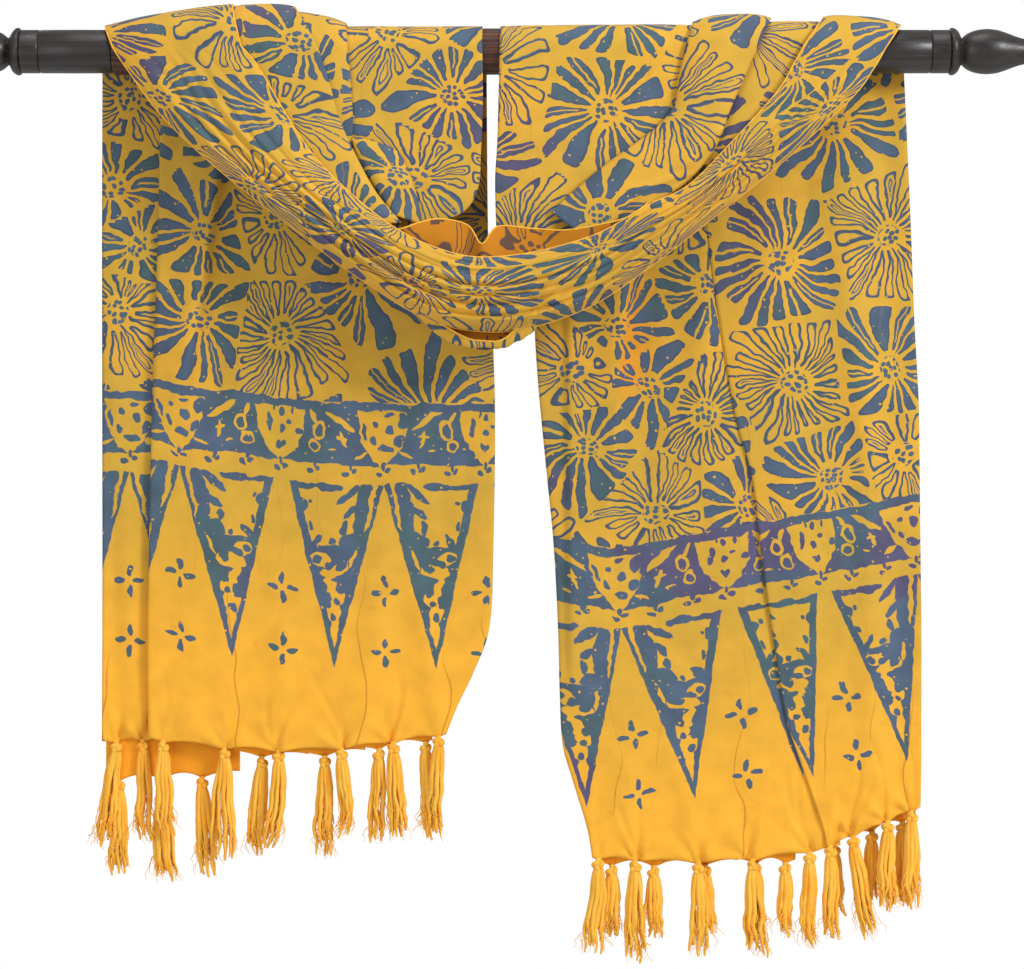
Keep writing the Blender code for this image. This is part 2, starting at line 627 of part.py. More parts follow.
def seam_end(strip, across):
    """The sections of an outer strip behind the rod, which ends at the crest, a seam's width from the swag."""
    rows = back_rows(strip)
    rows[0] = rows[0]._replace(ay=SEAM, by=SEAM)
    return [section(row, across, outward) for row in rows]


def cloth(finish):
    """Every stretch of the cloth. Returns the hem line that each fringe hangs from."""
    left, right = LEFT_STRIPS, RIGHT_STRIPS
    wall("left_back_outer", seam_end(left["outer"], 8), finish)
    wall("right_back_outer", seam_end(right["outer"], 7), finish)
    swag(finish)
    pocket(23, 6, finish)
    loose_pleat("swag_lower_fold", LOWER_FOLD_ROWS, 11, 7, downward, finish)
    over_pleat("left_second_pleat", left["second"], LEFT_SECOND, 9, 6, finish)
    over_pleat("left_third_pleat", left["third"], LEFT_THIRD, 5, 6, finish)
    over_pleat("left_inner_panel", left["inner"], LEFT_INNER, 11, 8, finish)
    loose_pleat("left_twisted_pleat", LEFT_TWIST, 8, 6, toward_viewer, finish)
    over_pleat("right_second_pleat", right["second"], RIGHT_SECOND, 6, 5, finish)
    over_pleat("right_wide_pleat", right["wide"], RIGHT_WIDE, 11, 7, finish)
    over_pleat("right_inner_panel", right["inner"], RIGHT_INNER, 10, 8, finish)
    hems = {
        "left_front": fall(
            "left_front_fall", LEFT_FRONT, LEFT_FRONT_DEPTH, LEFT_FRONT_RIDGES, 16, 15, finish, 0.026, 0.070, HEM_SAG
        ),
        "left_side": fall("left_side_fall", LEFT_SIDE, LEFT_SIDE_DEPTH, LEFT_SIDE_RIDGES, 9, 6, finish),
        "right_middle": fall(
            "right_middle_fall", RIGHT_MIDDLE, RIGHT_MIDDLE_DEPTH, RIGHT_MIDDLE_RIDGES, 16, 15, finish, 0.050, 0, HEM_SAG
        ),
        "right_front": fall("right_front_fall", RIGHT_FRONT, RIGHT_FRONT_DEPTH, RIGHT_FRONT_RIDGES, 16, 10, finish),
        "left_back": hem_of_strips(left, ("outer", "second", "third", "inner")),
        "right_back": hem_of_strips(right, ("inner", "wide", "second", "outer")),
    }
    return hems


def fringes(hems, finish):
    tassels = {
        "left_front": LEFT_FRONT_TASSELS,
        "left_side": LEFT_SIDE_TASSELS,
        "right_middle": RIGHT_MIDDLE_TASSELS,
        "right_front": RIGHT_FRONT_TASSELS,
        "left_back": LEFT_BACK_TASSELS,
        "right_back": RIGHT_BACK_TASSELS,
    }
    for name, rows in tassels.items():
        fringe(f"{name}_fringe", hems[name], rows, finish)


# The turned profile of a rod's end, from the pole outwards: distance from the rod's middle, and radius.
Turn = namedtuple("Turn", "x radius")
SLEEVE = [
    Turn(POLE_HALF + SEAM, SLEEVE_RADIUS),
    Turn(0.3465, SLEEVE_RADIUS),
    Turn(0.3472, SLEEVE_RADIUS - 0.0006),
    Turn(0.3479, SLEEVE_RADIUS),
    Turn(SLEEVE_END, SLEEVE_RADIUS),
]
FINIAL = [
    Turn(SLEEVE_END + SEAM, 0.0180),
    Turn(0.3640, 0.0184),
    Turn(0.3665, 0.0178),
    Turn(0.3690, 0.0155),
    Turn(0.3712, 0.0109),
    Turn(0.3722, 0.0107),
    Turn(0.3765, 0.0140),
    Turn(0.3822, 0.0162),
    Turn(0.3928, 0.0175),
    Turn(0.4000, 0.0166),
    Turn(0.4067, 0.0145),
    Turn(0.4140, 0.0118),
    Turn(0.4204, 0.0100),
    Turn(0.4290, 0.0094),
    Turn(0.4370, 0.0104),
    Turn(0.4440, 0.0090),
    Turn(0.4480, 0.0050),
]


def turned(name, profile, side, finish):
    """A closed solid turned about the X axis from its profile, on the right (1) or left (-1)."""
    shape = bmesh.new()
    loops = []
    for turn in profile:
        angles = [2 * math.pi * i / ROD_SIDES for i in range(ROD_SIDES)]
        points = [(side * turn.x, turn.radius * math.cos(a), turn.radius * math.sin(a)) for a in angles]
        loops.append([shape.verts.new(point) for point in points])
    for first, second in zip(loops, loops[1:]):
        bridge(shape, first, second)
    shape.faces.new(loops[0])
    shape.faces.new(loops[-1])
    bmesh.ops.recalc_face_normals(shape, faces=shape.faces[:])
    made = new_object(name, shape, finish)
    made.data.shade_smooth()
    made.data.set_sharp_from_angle(angle=math.radians(35))
    return made


def reeded_pole(finish):
    """The middle of the rod: a prism whose outline is a ring of reeds."""
    shape = bmesh.new()
    loops = []
    for x in (-POLE_HALF, POLE_HALF):
        loop = []
        for i in range(REEDS * 4):
            angle = 2 * math.pi * i / (REEDS * 4)
            radius = POLE_RADIUS - REED_DEPTH * (i % 4 == 0)
            loop.append(shape.verts.new((x, radius * math.cos(angle), radius * math.sin(angle))))
        loops.append(loop)
    bridge(shape, loops[0], loops[1])
    shape.faces.new(loops[0])
    shape.faces.new(loops[1])
    bmesh.ops.recalc_face_normals(shape, faces=shape.faces[:])
    return new_object("rod_pole", shape, finish)


def rod(pole_finish, end_finish):
    reeded_pole(pole_finish)
    for name, side in (("left", -1), ("right", 1)):
        turned(f"rod_sleeve_{name}", SLEEVE, side, end_finish)
        turned(f"rod_finial_{name}", FINIAL, side, end_finish)


def main():
    for old in list(bpy.data.objects):
        bpy.data.objects.remove(old)
    dyed = material("dyed_rayon", DYE, 0.75)
    rod(material("brown_wood", POLE_WOOD, 0.45), material("black_wood", EBONY, 0.4))
    fringes(cloth(dyed), dyed)


main()
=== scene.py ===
"""Dresses a batik sarong that hangs over a turned wooden rod.

Lengths are metres, +X runs along the rod, -Y faces the viewer and +Z is up. One fringed cloth hangs with
both its ends behind the rod, and its middle comes over the top as a swag in front. Each stretch of cloth is a
thin shell lofted through a short table of sections, with a flat print plane of its own for the batik.
The tables are text, read by read_rows: their numbers are thousandths, so lengths in them are millimetres.
"""

import logging
import math
from dataclasses import dataclass, field
from enum import Enum
from typing import NamedTuple, Optional, Sequence, TypeVar, Union

import bmesh
import bpy
import numpy as np
from bpy.types import ID, Material, Mesh, Node, NodeSocket, NodeTree, Object
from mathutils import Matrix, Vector


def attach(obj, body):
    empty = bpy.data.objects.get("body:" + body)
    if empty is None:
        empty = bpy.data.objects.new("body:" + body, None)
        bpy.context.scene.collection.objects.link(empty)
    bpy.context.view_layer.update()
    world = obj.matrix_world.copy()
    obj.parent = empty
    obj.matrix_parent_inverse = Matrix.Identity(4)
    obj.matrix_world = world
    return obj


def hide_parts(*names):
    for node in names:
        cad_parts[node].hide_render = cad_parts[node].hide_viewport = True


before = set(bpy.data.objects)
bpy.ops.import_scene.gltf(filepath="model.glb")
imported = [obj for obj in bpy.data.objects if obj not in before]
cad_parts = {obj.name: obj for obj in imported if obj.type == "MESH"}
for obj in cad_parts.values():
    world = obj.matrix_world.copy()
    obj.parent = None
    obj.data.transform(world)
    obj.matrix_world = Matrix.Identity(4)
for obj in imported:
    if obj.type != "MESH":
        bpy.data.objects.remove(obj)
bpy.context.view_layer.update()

LOG = logging.getLogger("sarong")
BODY = "root"

Array = np.ndarray
Socket = NodeSocket
Feed = Union[Socket, float, tuple]
Record = TypeVar("Record")


class Slot(Enum):
    """The record's material slots."""

    CLOTH = "batik_cloth"
    FRINGE = "fringe"
    BLACK_WOOD = "black_wood"
    BROWN_WOOD = "brown_wood"


class Held(Enum):
    """How a stretch of cloth is held."""

    DRAPED = "draped"
    HUNG = "hung"


class Petals(Enum):
    """The two kinds of printed flower."""

    FILLED = 0.0
    OUTLINED = 1.0


class Facing(Enum):
    """The way that a stretch of cloth bulges."""

    OUTWARD = "away from the rod"
    VIEWER = "towards the viewer"
    DOWNWARD = "down"


class Row(NamedTuple):
    """A section of cloth from edge a to edge b, bulging between them."""

    ax: float
    ay: float
    az: float
    bx: float
    by: float
    bz: float
    bulge: float


class FallRow(NamedTuple):
    """A section of a flat fall, which has one depth."""

    ax: float
    az: float
    bx: float
    bz: float


class Ridge(NamedTuple):
    """A ridge from its top to its foot, or a valley where its height is negative, and both its widths."""

    top_x: float
    top_z: float
    foot_x: float
    foot_z: float
    width: float
    height: float
    right: float = 0.0


class Strip(NamedTuple):
    """A strip of the crest and of the back: its edges, its dome, its depth behind the rod and its hem."""

    ax: float
    az: float
    bx: float
    bz: float
    dome: float
    ay: float
    by: float
    hem_ax: float
    hem_az: float
    hem_bx: float
    hem_bz: float


class Tassel(NamedTuple):
    """A tassel's place on its hem, its length, and how far it leans and spreads over that length."""

    x: float
    length: float
    lean: float
    spread: float


class Bloom(NamedTuple):
    """A printed flower at a place seen from the front."""

    x: float
    z: float
    petals: Petals
    count: int


class Rail(NamedTuple):
    """A point on the upper edge of the printed border."""

    x: float
    z: float


class Turn(NamedTuple):
    """A point of a turned profile: its distance from the rod's middle, and its radius."""

    x: float
    radius: float


class Blob(NamedTuple):
    """A printed oval in millimetres: its middle, its half widths and its turn in degrees."""

    u: float
    v: float
    half_u: float
    half_v: float
    turn: float = 0.0


def read_rows(kind: type[Record], text: str, unit: str = "e-3") -> list[Record]:
    """Reads a table that is written as text.

    Args:
        kind: What each row is.
        text: The rows, with commas between them and spaces between their numbers.
        unit: The power of ten that the numbers are written in.

    Returns:
        The rows.
    """
    return [kind(*(float(word + unit) for word in row.split())) for row in text.split(",")]


def read_blobs(text: str) -> list[Blob]:
    """Reads printed ovals, in millimetres and degrees."""
    return read_rows(Blob, text, "")


def read_blooms(text: str) -> list[Bloom]:
    """Reads printed flowers: their places in millimetres, their kind and their number of petals."""
    blooms = []
    for row in text.split(","):
        x, z, kind, count = row.split()
        blooms.append(Bloom(float(x + "e-3"), float(z + "e-3"), Petals[kind.upper()], int(count)))
    return blooms


# Shading

MILLI = 0.001
INK_SOFT = 0.0003  # half the width over which ink gives way to bare cloth


class Graph:
    """Builds one node tree in short steps."""

    def __init__(self, tree: NodeTree) -> None:
        """Starts on a tree.

        Args:
            tree: The tree that every new node goes into.
        """
        self.tree = tree

    def node(self, kind: str, **settings: object) -> Node:
        """Adds a node.

        Args:
            kind: Its type name.
            settings: Properties to set on it.

        Returns:
            The new node.
        """
        made = self.tree.nodes.new(kind)
        for name, value in settings.items():
            setattr(made, name, value)
        return made

    def wired(self, kind: str, inputs: dict[Union[int, str], Feed], **settings: object) -> Node:
        """Adds a node with its inputs fed by name or number."""
        made = self.node(kind, **settings)
        for name, value in inputs.items():
            self.feed(made.inputs[name], value)
        return made

    def feed(self, socket: Socket, value: Feed) -> None:
        """Links a socket to an input, or sets its value."""
        if isinstance(value, NodeSocket):
            self.tree.links.new(value, socket)
        else:
            socket.default_value = value

    def math(self, operation: str, *values: Feed, clamp: bool = False) -> Socket:
        """Adds a Math node and returns its result."""
        inputs = dict(enumerate(values))
        return self.wired("ShaderNodeMath", inputs, operation=operation, use_clamp=clamp).outputs[0]

    def vector(self, operation: str, *values: Feed) -> Socket:
        """Adds a Vector Math node and returns its result."""
        made = self.wired("ShaderNodeVectorMath", dict(enumerate(values)), operation=operation)
        return made.outputs["Value" if operation == "LENGTH" else "Vector"]

    def scaled(self, vector: Socket, factor: Feed) -> Socket:
        """Returns a vector times a number."""
        inputs = {0: vector, "Scale": factor}
        return self.wired("ShaderNodeVectorMath", inputs, operation="SCALE").outputs["Vector"]

    def combine(self, x: Feed, y: Feed, z: Feed = 0.0) -> Socket:
        """Returns a vector made of three numbers."""
        return self.wired("ShaderNodeCombineXYZ", {"X": x, "Y": y, "Z": z}).outputs[0]

    def split(self, vector: Socket) -> tuple[Socket, Socket, Socket]:
        """Returns a vector's three numbers."""
        return tuple(self.wired("ShaderNodeSeparateXYZ", {0: vector}).outputs)

    def noise(self, place: Socket, scale: float, detail: float = 2.0, colour: bool = False) -> Socket:
        """Returns noise at a place, as a number or as a colour.

        Args:
            place: The point that it is read at.
            scale: Its features to the metre.
            detail: Its octaves.
            colour: Whether three separate numbers are wanted.

        Returns:
            The socket of the noise.
        """
        made = self.wired("ShaderNodeTexNoise", {"Vector": place, "Scale": scale, "Detail": detail})
        return made.outputs["Color" if colour else "Fac"]

    def shake(self, place: Socket, scale: float, reach: float) -> Socket:
        """Returns a random offset at a place, of up to half a reach in each direction."""
        offset = self.vector("SUBTRACT", self.noise(place, scale, 0, True), (0.5, 0.5, 0.5))
        return self.scaled(offset, reach)

    def past(self, value: Socket, level: float, soft: float = INK_SOFT) -> Socket:
        """Returns 1 where a number is past a level, with a soft edge."""
        return self.step(value, level - soft, level + soft)

    def short_of(self, value: Socket, level: float, soft: float = INK_SOFT) -> Socket:
        """Returns 1 where a number is short of a level, with a soft edge."""
        return self.step(value, level + soft, level - soft)

    def step(self, value: Socket, start: Feed, end: Feed) -> Socket:
        """Returns a smooth step from 0 at start to 1 at end."""
        inputs = {"Value": value, "From Min": start, "From Max": end}
        return self.wired("ShaderNodeMapRange", inputs, interpolation_type="SMOOTHSTEP").outputs["Result"]

    def blend(self, share: Feed, first: Feed, second: Feed, way: str = "MIX") -> Socket:
        """Returns a mix of two colours."""
        inputs = {"Factor": share, "A": first, "B": second}
        return self.wired("ShaderNodeMix", inputs, data_type="RGBA", blend_type=way).outputs["Result"]

    def shaded(self, colour: Socket, shade: Socket) -> Socket:
        """Returns a colour times a shade."""
        return self.blend(1.0, colour, self.combine(shade, shade, shade), "MULTIPLY")

    def largest(self, *values: Socket) -> Socket:
        """Returns the largest of several numbers."""
        total = values[0]
        for value in values[1:]:
            total = self.math("MAXIMUM", total, value)
        return total

    def product(self, *values: Feed) -> Socket:
        """Returns the product of several numbers."""
        total = values[0]
        for value in values[1:]:
            total = self.math("MULTIPLY", total, value)
        return total

    def fused(self, value: Feed, factor: Feed, extra: Feed) -> Socket:
        """Returns a number times a factor plus an extra."""
        return self.math("MULTIPLY_ADD", value, factor, extra)

    def minus(self, value: Feed, other: Feed) -> Socket:
        """Returns a number minus another."""
        return self.math("SUBTRACT", value, other)

    def inverse(self, value: Socket) -> Socket:
        """Returns one minus a number."""
        return self.math("SUBTRACT", 1.0, value)

    def attribute(self, name: str) -> Socket:
        """Returns a mesh attribute as a vector."""
        return self.node("ShaderNodeAttribute", attribute_name=name).outputs["Vector"]

    def group(self, tree: NodeTree, **values: Feed) -> Node:
        """Places a node group with its inputs fed by name."""
        return self.wired("ShaderNodeGroup", values, node_tree=tree)


SOCKET_KINDS = {"vector": "NodeSocketVector", "number": "NodeSocketFloat", "colour": "NodeSocketColor"}


def shader_group(name: str, inputs: dict[str, str], outputs: dict[str, str]) -> tuple[Graph, dict, dict]:
    """Makes an empty shader node group with named sockets.

    Args:
        name: The group's name.
        inputs: The kind of each input, by its name.
        outputs: The kind of each output, by its name.

    Returns:
        Its graph, its input sockets by name, and its output sockets by name.
    """
    tree = bpy.data.node_groups.new(name, "ShaderNodeTree")
    for way, sockets in (("INPUT", inputs), ("OUTPUT", outputs)):
        for label, kind in sockets.items():
            tree.interface.new_socket(name=label, in_out=way, socket_type=SOCKET_KINDS[kind])
    graph = Graph(tree)
    start, end = graph.node("NodeGroupInput"), graph.node("NodeGroupOutput")
    return graph, {k: start.outputs[k] for k in inputs}, {k: end.inputs[k] for k in outputs}


def ovals(graph: Graph, place: Socket, table: Sequence[Blob]) -> Socket:
    """Returns a mask of printed ovals.

    Args:
        graph: The graph to add to.
        place: A point in metres.
        table: The ovals.

    Returns:
        A number that is 1 inside any of them.
    """
    nearest: Optional[Socket] = None
    for blob in table:
        inputs = {
            "Vector": place,
            "Location": (blob.u * MILLI, blob.v * MILLI, 0),
            "Rotation": (0, 0, math.radians(blob.turn)),
            "Scale": (blob.half_u * MILLI, blob.half_v * MILLI, 1),
        }
        mapping = graph.wired("ShaderNodeMapping", inputs, vector_type="TEXTURE")
        span = graph.vector("LENGTH", mapping.outputs[0])
        nearest = span if nearest is None else graph.math("MINIMUM", nearest, span)
    return graph.step(nearest, 1.05, 0.95)


def flecked(graph: Graph, ink: Socket, cloth: Socket) -> Socket:
    """Ink with small bare flecks in it."""
    flecks = graph.step(graph.noise(cloth, 330, 0), 0.76, 0.79)
    return graph.product(ink, graph.inverse(flecks))


@dataclass(frozen=True)
class FlowerPrint:
    """The printed flowers: wedge petals round a cluster of dots, filled or outlined."""

    wobble: float = 0.0080
    fine_wobble: float = 0.0026
    gap: float = 0.0026
    heart: float = 0.0098
    reach: float = 0.0480
    line: float = 0.0006
    swirl: float = 5.0
    half_petal: float = 0.0040

    def build(self) -> NodeTree:
        """Builds the node group, whose Local input is the offset from the flower and the way to its border.

        Returns:
            The group.
        """
        g, given, out = shader_group(
            "Flower print",
            {"Local": "vector", "Style": "vector", "Cloth": "vector"},
            {"Ink": "number", "Edge": "number"},
        )
        dx, dy, edge = g.split(given["Local"])
        kind, petals, seed = g.split(given["Style"])
        petals = g.math("ROUND", petals)
        fine = g.shake(given["Cloth"], 165, self.fine_wobble)
        drift = g.vector("ADD", g.shake(given["Cloth"], 40, self.wobble), fine)
        x, y, _ = g.split(g.vector("ADD", g.combine(dx, dy), drift))
        place = g.combine(x, y)
        radius = g.vector("LENGTH", place)
        swirl = g.product(g.math("SINE", g.product(seed, 3.0)), self.swirl)
        turn = g.fused(radius, swirl, g.math("ARCTAN2", y, x))
        sway = g.math("SINE", g.fused(turn, 3.0, seed))
        flutter = g.math("SINE", g.fused(turn, 5.0, g.product(seed, 2.3)))
        bend = g.fused(sway, 0.26, g.product(flutter, 0.18))
        count = g.fused(g.math("DIVIDE", turn, 2 * math.pi), petals, bend)
        number = g.math("FLOORED_MODULO", g.math("FLOOR", count), petals)
        luck = g.node("ShaderNodeTexWhiteNoise", noise_dimensions="1D")
        g.feed(luck.inputs["W"], g.math("ROUND", g.fused(seed, 310.0, number)))
        first, second, third = g.split(luck.outputs["Color"])
        width = g.math("DIVIDE", g.product(radius, 2 * math.pi), petals)
        across = g.product(g.math("ABSOLUTE", g.minus(g.math("FRACT", count), 0.5)), width)
        half = g.minus(g.product(width, 0.5), self.gap / 2)
        slim = g.fused(second, 0.26, 0.78)
        widest = g.fused(first, 0.0016, self.half_petal)
        sides = g.minus(across, g.math("SMOOTH_MIN", g.product(half, slim), widest, 0.002))
        root = g.minus(g.fused(third, 0.005, self.heart), radius)
        tip = g.minus(radius, g.fused(first, 0.022, self.reach))
        rim = g.minus(g.fused(third, 0.0056, -0.0014), edge)
        shape = g.math("SMOOTH_MAX", sides, root, 0.0015)
        shape = g.math("SMOOTH_MAX", shape, g.largest(tip, rim), 0.0055)
        filled = g.step(shape, 0.0001, -0.0001)
        chosen = g.step(third, 0.80, 0.82)
        slit = g.product(g.step(across, 0.0008, 0.0005), chosen, g.step(radius, 0.020, 0.022))
        filled = g.product(filled, g.inverse(slit))
        line = g.step(g.math("ABSOLUTE", g.math("ADD", shape, self.line)), 0.0010, 0.0007)
        nest = g.step(g.math("ABSOLUTE", g.math("ADD", shape, 0.0034)), 0.0006, 0.0003)
        outlined = g.largest(line, g.product(nest, g.step(second, 0.74, 0.76)))
        ink = g.fused(g.minus(outlined, filled), kind, filled)
        inputs = {"Vector": g.vector("ADD", place, g.combine(seed, seed)), "Scale": 205, "Randomness": 0.7}
        dots = g.wired("ShaderNodeTexVoronoi", inputs, voronoi_dimensions="2D")
        cluster = g.product(
            g.step(dots.outputs["Distance"], 0.42, 0.36), g.step(radius, self.heart * 0.98, self.heart * 0.88)
        )
        ink = g.largest(ink, cluster)
        g.feed(out["Ink"], flecked(g, ink, given["Cloth"]))
        g.feed(out["Edge"], g.step(g.math("ABSOLUTE", shape), 0.0012, 0.0004))
        return g.tree


@dataclass(frozen=True)
class BorderPrint:
    """The printed border above the hem: two bars, a band of motifs, a row of buds and long triangles."""

    pitch: float = 0.081
    bar: float = 0.0072
    band: float = 0.0490
    teeth_top: float = 0.0640
    teeth_drop: float = 0.1450
    teeth_half: float = 0.0375
    left_more: float = 0.0030
    outline: float = 0.0064
    shield_foot: float = 0.1130
    end: float = 0.2200
    star_middle: float = 0.1730
    star_apart: float = 0.0240
    wobble: float = 0.0050
    fine_wobble: float = 0.0030

    BAND_BARE = read_blobs("""
        -5.5 14 2.4 14.5 56, -9 29.5 1.7 7 14, -8 28 1.5 4.8 78, -23 40.5 1.5 6 -68, 9.5 22 5 7.2 -12,
        14.5 34 5 6 20, 14 12 1.7 6 30, -1 38 0.9 3.2 70
    """)
    BAND_INK = read_blobs("9.5 22.5 3 4.6 -12, 14.8 34.5 3.3 3.6 0")
    CELL_INK = read_blobs("""
        -9.6 20 2.2 7.6 4, 1 11.5 2 3.2 0, 6 19 2.5 1.5 0, 0.4 24 2.3 3 0, 15 24.5 3.4 2.6 -10,
        -0.8 36 1.9 3.4 -26, 1.8 35.6 1.9 2.8 28, 9 10 1.1 3.2 0, -4 9 0.9 2.6 0
    """)
    RAGGED_INK = read_blobs("""
        -6 17 2.4 2.2 0, 4.4 11 3.8 1.7 -15, 5.5 22 3.6 4.4 20, -7.5 29.5 2.1 3.8 -22, -15 22 1.8 6.5 -16,
        2 36.5 6 3 10, 16.5 14 4.6 6.2 12, 12.5 30 3.4 5.5 34
    """)
    BUDS = read_blobs("-3.4 55.5 2.8 2 30, 3.4 53.5 2.6 1.8 -30, 0.4 50 1.6 3.4 0")
    TEETH_INK = read_blobs("""
        2.6 66.2 11.5 3.6 3, 24 67 13 2.4 0, -13 72 3 12 -52, -24 84 7 25 -10, -13 87 2.8 7.5 -48,
        -9 99 2.8 5.4 0, -15 108 11 6 20, 0.5 110.5 2.6 2.2 0, 25 82 4.6 5 0, 18.5 80 1.6 2 0,
        18 97.5 1.8 4 14, 13.5 110 2.6 8 -38, 12.6 123.5 3.4 3.3 0, 4.2 126.5 4.6 2.8 25,
        -6.5 129 5.6 3.8 30, 13.4 131.5 2.4 2.2 0, -3 139.5 5.2 2.2 -15, 8.8 146.5 4.6 6.4 14,
        -5.6 148 3.4 4.2 -24, -2.6 158 2.6 2.8 0, 4.6 160 2.2 2.4 0, 0.8 169.5 2.8 3.4 0
    """)
    TEETH_BARE = read_blobs("""
        -16 122.5 1.5 8 -16, 9.5 123.5 8 5.4 -12, -0.5 132 12.5 4.6 8, 2.5 143 5.2 8.6 10,
        -3.5 154 5.6 6.6 -12, 0.5 165.5 6 7.6 0, -0.6 181 3.5 18 -1
    """)
    SLIT = read_blobs("-31 80 1.7 22 -12")
    STAR = read_blobs("7.6 0 4.6 2.3, 0 7.6 2.3 4.6")

    def build(self) -> NodeTree:
        """Builds the node group, whose Rail input is the place along the border and the drop below its top.

        Returns:
            The group.
        """
        g, given, out = shader_group("Border print", {"Rail": "vector", "Cloth": "vector"}, {"Ink": "number"})
        fine = g.shake(given["Cloth"], 190, self.fine_wobble)
        drift = g.vector("ADD", g.shake(given["Cloth"], 60, self.wobble), fine)
        u, v, _ = g.split(g.vector("ADD", given["Rail"], drift))
        cycle = g.math("DIVIDE", u, self.pitch)
        whole = g.math("ADD", cycle, 0.5)
        side = g.fused(g.math("FLOORED_MODULO", g.math("FLOOR", whole), 2.0), -2.0, 1.0)
        tooth = g.product(g.minus(g.math("FRACT", whole), 0.5), self.pitch, side)
        gap = g.product(g.minus(g.math("FRACT", cycle), 0.5), self.pitch)
        off_gap = g.math("ABSOLUTE", gap)
        odd = g.math("FLOORED_MODULO", g.math("FLOOR", cycle), 2.0)
        started = g.past(v, 0)
        bar = g.product(started, g.short_of(v, self.bar))
        fall = g.math("DIVIDE", g.minus(v, self.bar), self.band - self.bar, clamp=True)
        cell = g.product(g.inverse(g.math("POWER", fall, 2.6)), 0.0185)
        open_cell = g.minus(off_gap, g.math("ADD", cell, 0.0015))
        block = g.product(started, g.past(open_cell, 0), g.short_of(v, self.band))
        down = g.math("DIVIDE", g.minus(v, self.teeth_top), self.teeth_drop)
        steady = g.minus(tooth, g.product(g.split(drift)[0], side, 0.6))
        left_more = g.fused(g.inverse(down), self.left_more, steady)
        half = g.product(g.inverse(down), self.teeth_half)
        depth = g.minus(half, g.math("ABSOLUTE", left_more))
        inside = g.product(g.past(depth, 0), g.past(v, self.teeth_top))
        core = g.past(depth, self.outline)
        solid = g.largest(g.inverse(core), g.past(v, self.shield_foot, 0.0005))
        teeth = g.product(inside, solid)
        at_tooth, at_gap = g.combine(tooth, v), g.combine(gap, v)
        kept = g.step(depth, self.outline - 0.003, self.outline - 0.0020)
        bare = g.largest(
            ovals(g, at_tooth, self.BAND_BARE),
            ovals(g, at_tooth, self.SLIT),
            g.product(ovals(g, at_tooth, self.TEETH_BARE), kept),
        )
        base = g.product(g.largest(block, teeth), g.inverse(bare))
        base = g.largest(base, bar)
        third = self.pitch / 3
        bud = g.product(g.minus(g.math("FRACT", g.math("DIVIDE", u, third)), 0.5), third)
        off_stars = g.math("ABSOLUTE", g.minus(v, self.star_middle))
        folded = g.math("ABSOLUTE", g.minus(off_stars, self.star_apart))
        added = g.largest(
            ovals(g, at_tooth, self.BAND_INK),
            g.product(ovals(g, at_tooth, self.TEETH_INK), inside, g.inverse(ovals(g, at_tooth, self.SLIT))),
            g.product(ovals(g, at_gap, self.CELL_INK), g.inverse(odd)),
            g.product(ovals(g, at_gap, self.RAGGED_INK), odd, g.step(open_cell, 0.0010, 0.0004)),
            ovals(g, g.combine(bud, v), self.BUDS),
            ovals(g, g.combine(off_gap, folded), self.STAR),
        )
        ink = g.product(g.largest(base, added), started, g.step(v, self.end + 0.001, self.end))
        g.feed(out["Ink"], flecked(g, ink, given["Cloth"]))
        return g.tree


@dataclass(frozen=True)
class DyesAndPaintedShade:
    """The dye colours, which drift over the cloth, with painted shade along creases and in fold valleys."""

    yellow: tuple = (0.640, 0.378, 0.043, 1)
    amber: tuple = (0.950, 0.455, 0.034, 1)
    rust: tuple = (0.800, 0.250, 0.012, 1)
    # Painted fold shade: a deep orange that stands in for shade and for light thrown about inside a fold's
    # valley.
    fold_shade_colour: tuple = (0.760, 0.245, 0.008, 1)
    blue: tuple = (0.060, 0.112, 0.188, 1)
    teal: tuple = (0.052, 0.118, 0.150, 1)
    violet: tuple = (0.086, 0.070, 0.170, 1)

    def build(self) -> NodeTree:
        """Returns the node group that gives the ground's and the ink's colour at a place on the cloth, with
        painted crease shade and painted fold shade in the ground.
        """
        g, given, out = shader_group(
            "Drifting dyes",
            {"Cloth": "vector", "Drop": "number", "Warm": "number"},
            {"GroundWithShade": "colour", "Print": "colour", "CreaseAndShade": "number"},
        )
        cloth = given["Cloth"]
        cloud = g.step(g.noise(cloth, 11, 3), 0.42, 0.66)
        hem = g.step(given["Drop"], 0.05, 0.24)
        ground = g.blend(g.largest(g.product(cloud, 0.35), hem), self.yellow, self.amber)
        spots = g.product(g.step(g.noise(cloth, 75, 2), 0.66, 0.80), 0.35)
        # Painted fold shade: the ground is blended towards a deep orange by the Warm share.
        ground = g.blend(given["Warm"], g.blend(spots, ground, self.rust), self.fold_shade_colour)
        # Thin crease lines near the hem: they bump the surface, and the ground is darkened along them as
        # painted crease shade.
        wander = g.noise(g.vector("MULTIPLY", cloth, (11, 15, 1)), 1, 1)
        along = g.fused(g.split(cloth)[0], 30.0, g.product(wander, 0.9))
        off = g.math("ABSOLUTE", g.minus(g.math("FRACT", along), 0.5))
        broken = g.step(g.noise(g.vector("MULTIPLY", cloth, (26, 7, 1)), 1, 0), 0.48, 0.60)
        near_hem = g.fused(g.step(given["Drop"], 0.12, 0.22), 0.75, 0.25)
        crease = g.product(g.step(off, 0.024, 0.006), broken, near_hem)
        g.feed(out["CreaseAndShade"], crease)
        # Painted crease shade: the ground is blended towards a dark rust along the crease lines.
        ground = g.blend(g.product(crease, 0.60), ground, (0.560, 0.180, 0.008, 1))
        mottle = g.fused(g.noise(cloth, 60, 3), 0.34, 0.82)
        g.feed(out["GroundWithShade"], g.shaded(ground, mottle))
        bands = g.product(g.step(g.noise(cloth, 6.5, 2), 0.55, 0.64), 0.8)
        ink = g.blend(g.step(g.noise(cloth, 14, 2), 0.45, 0.62), self.blue, self.teal)
        ink = g.blend(bands, ink, self.violet)
        shade = g.fused(g.noise(cloth, 45, 3), 0.9, 0.55)
        g.feed(out["Print"], g.shaded(ink, shade))
        return g.tree


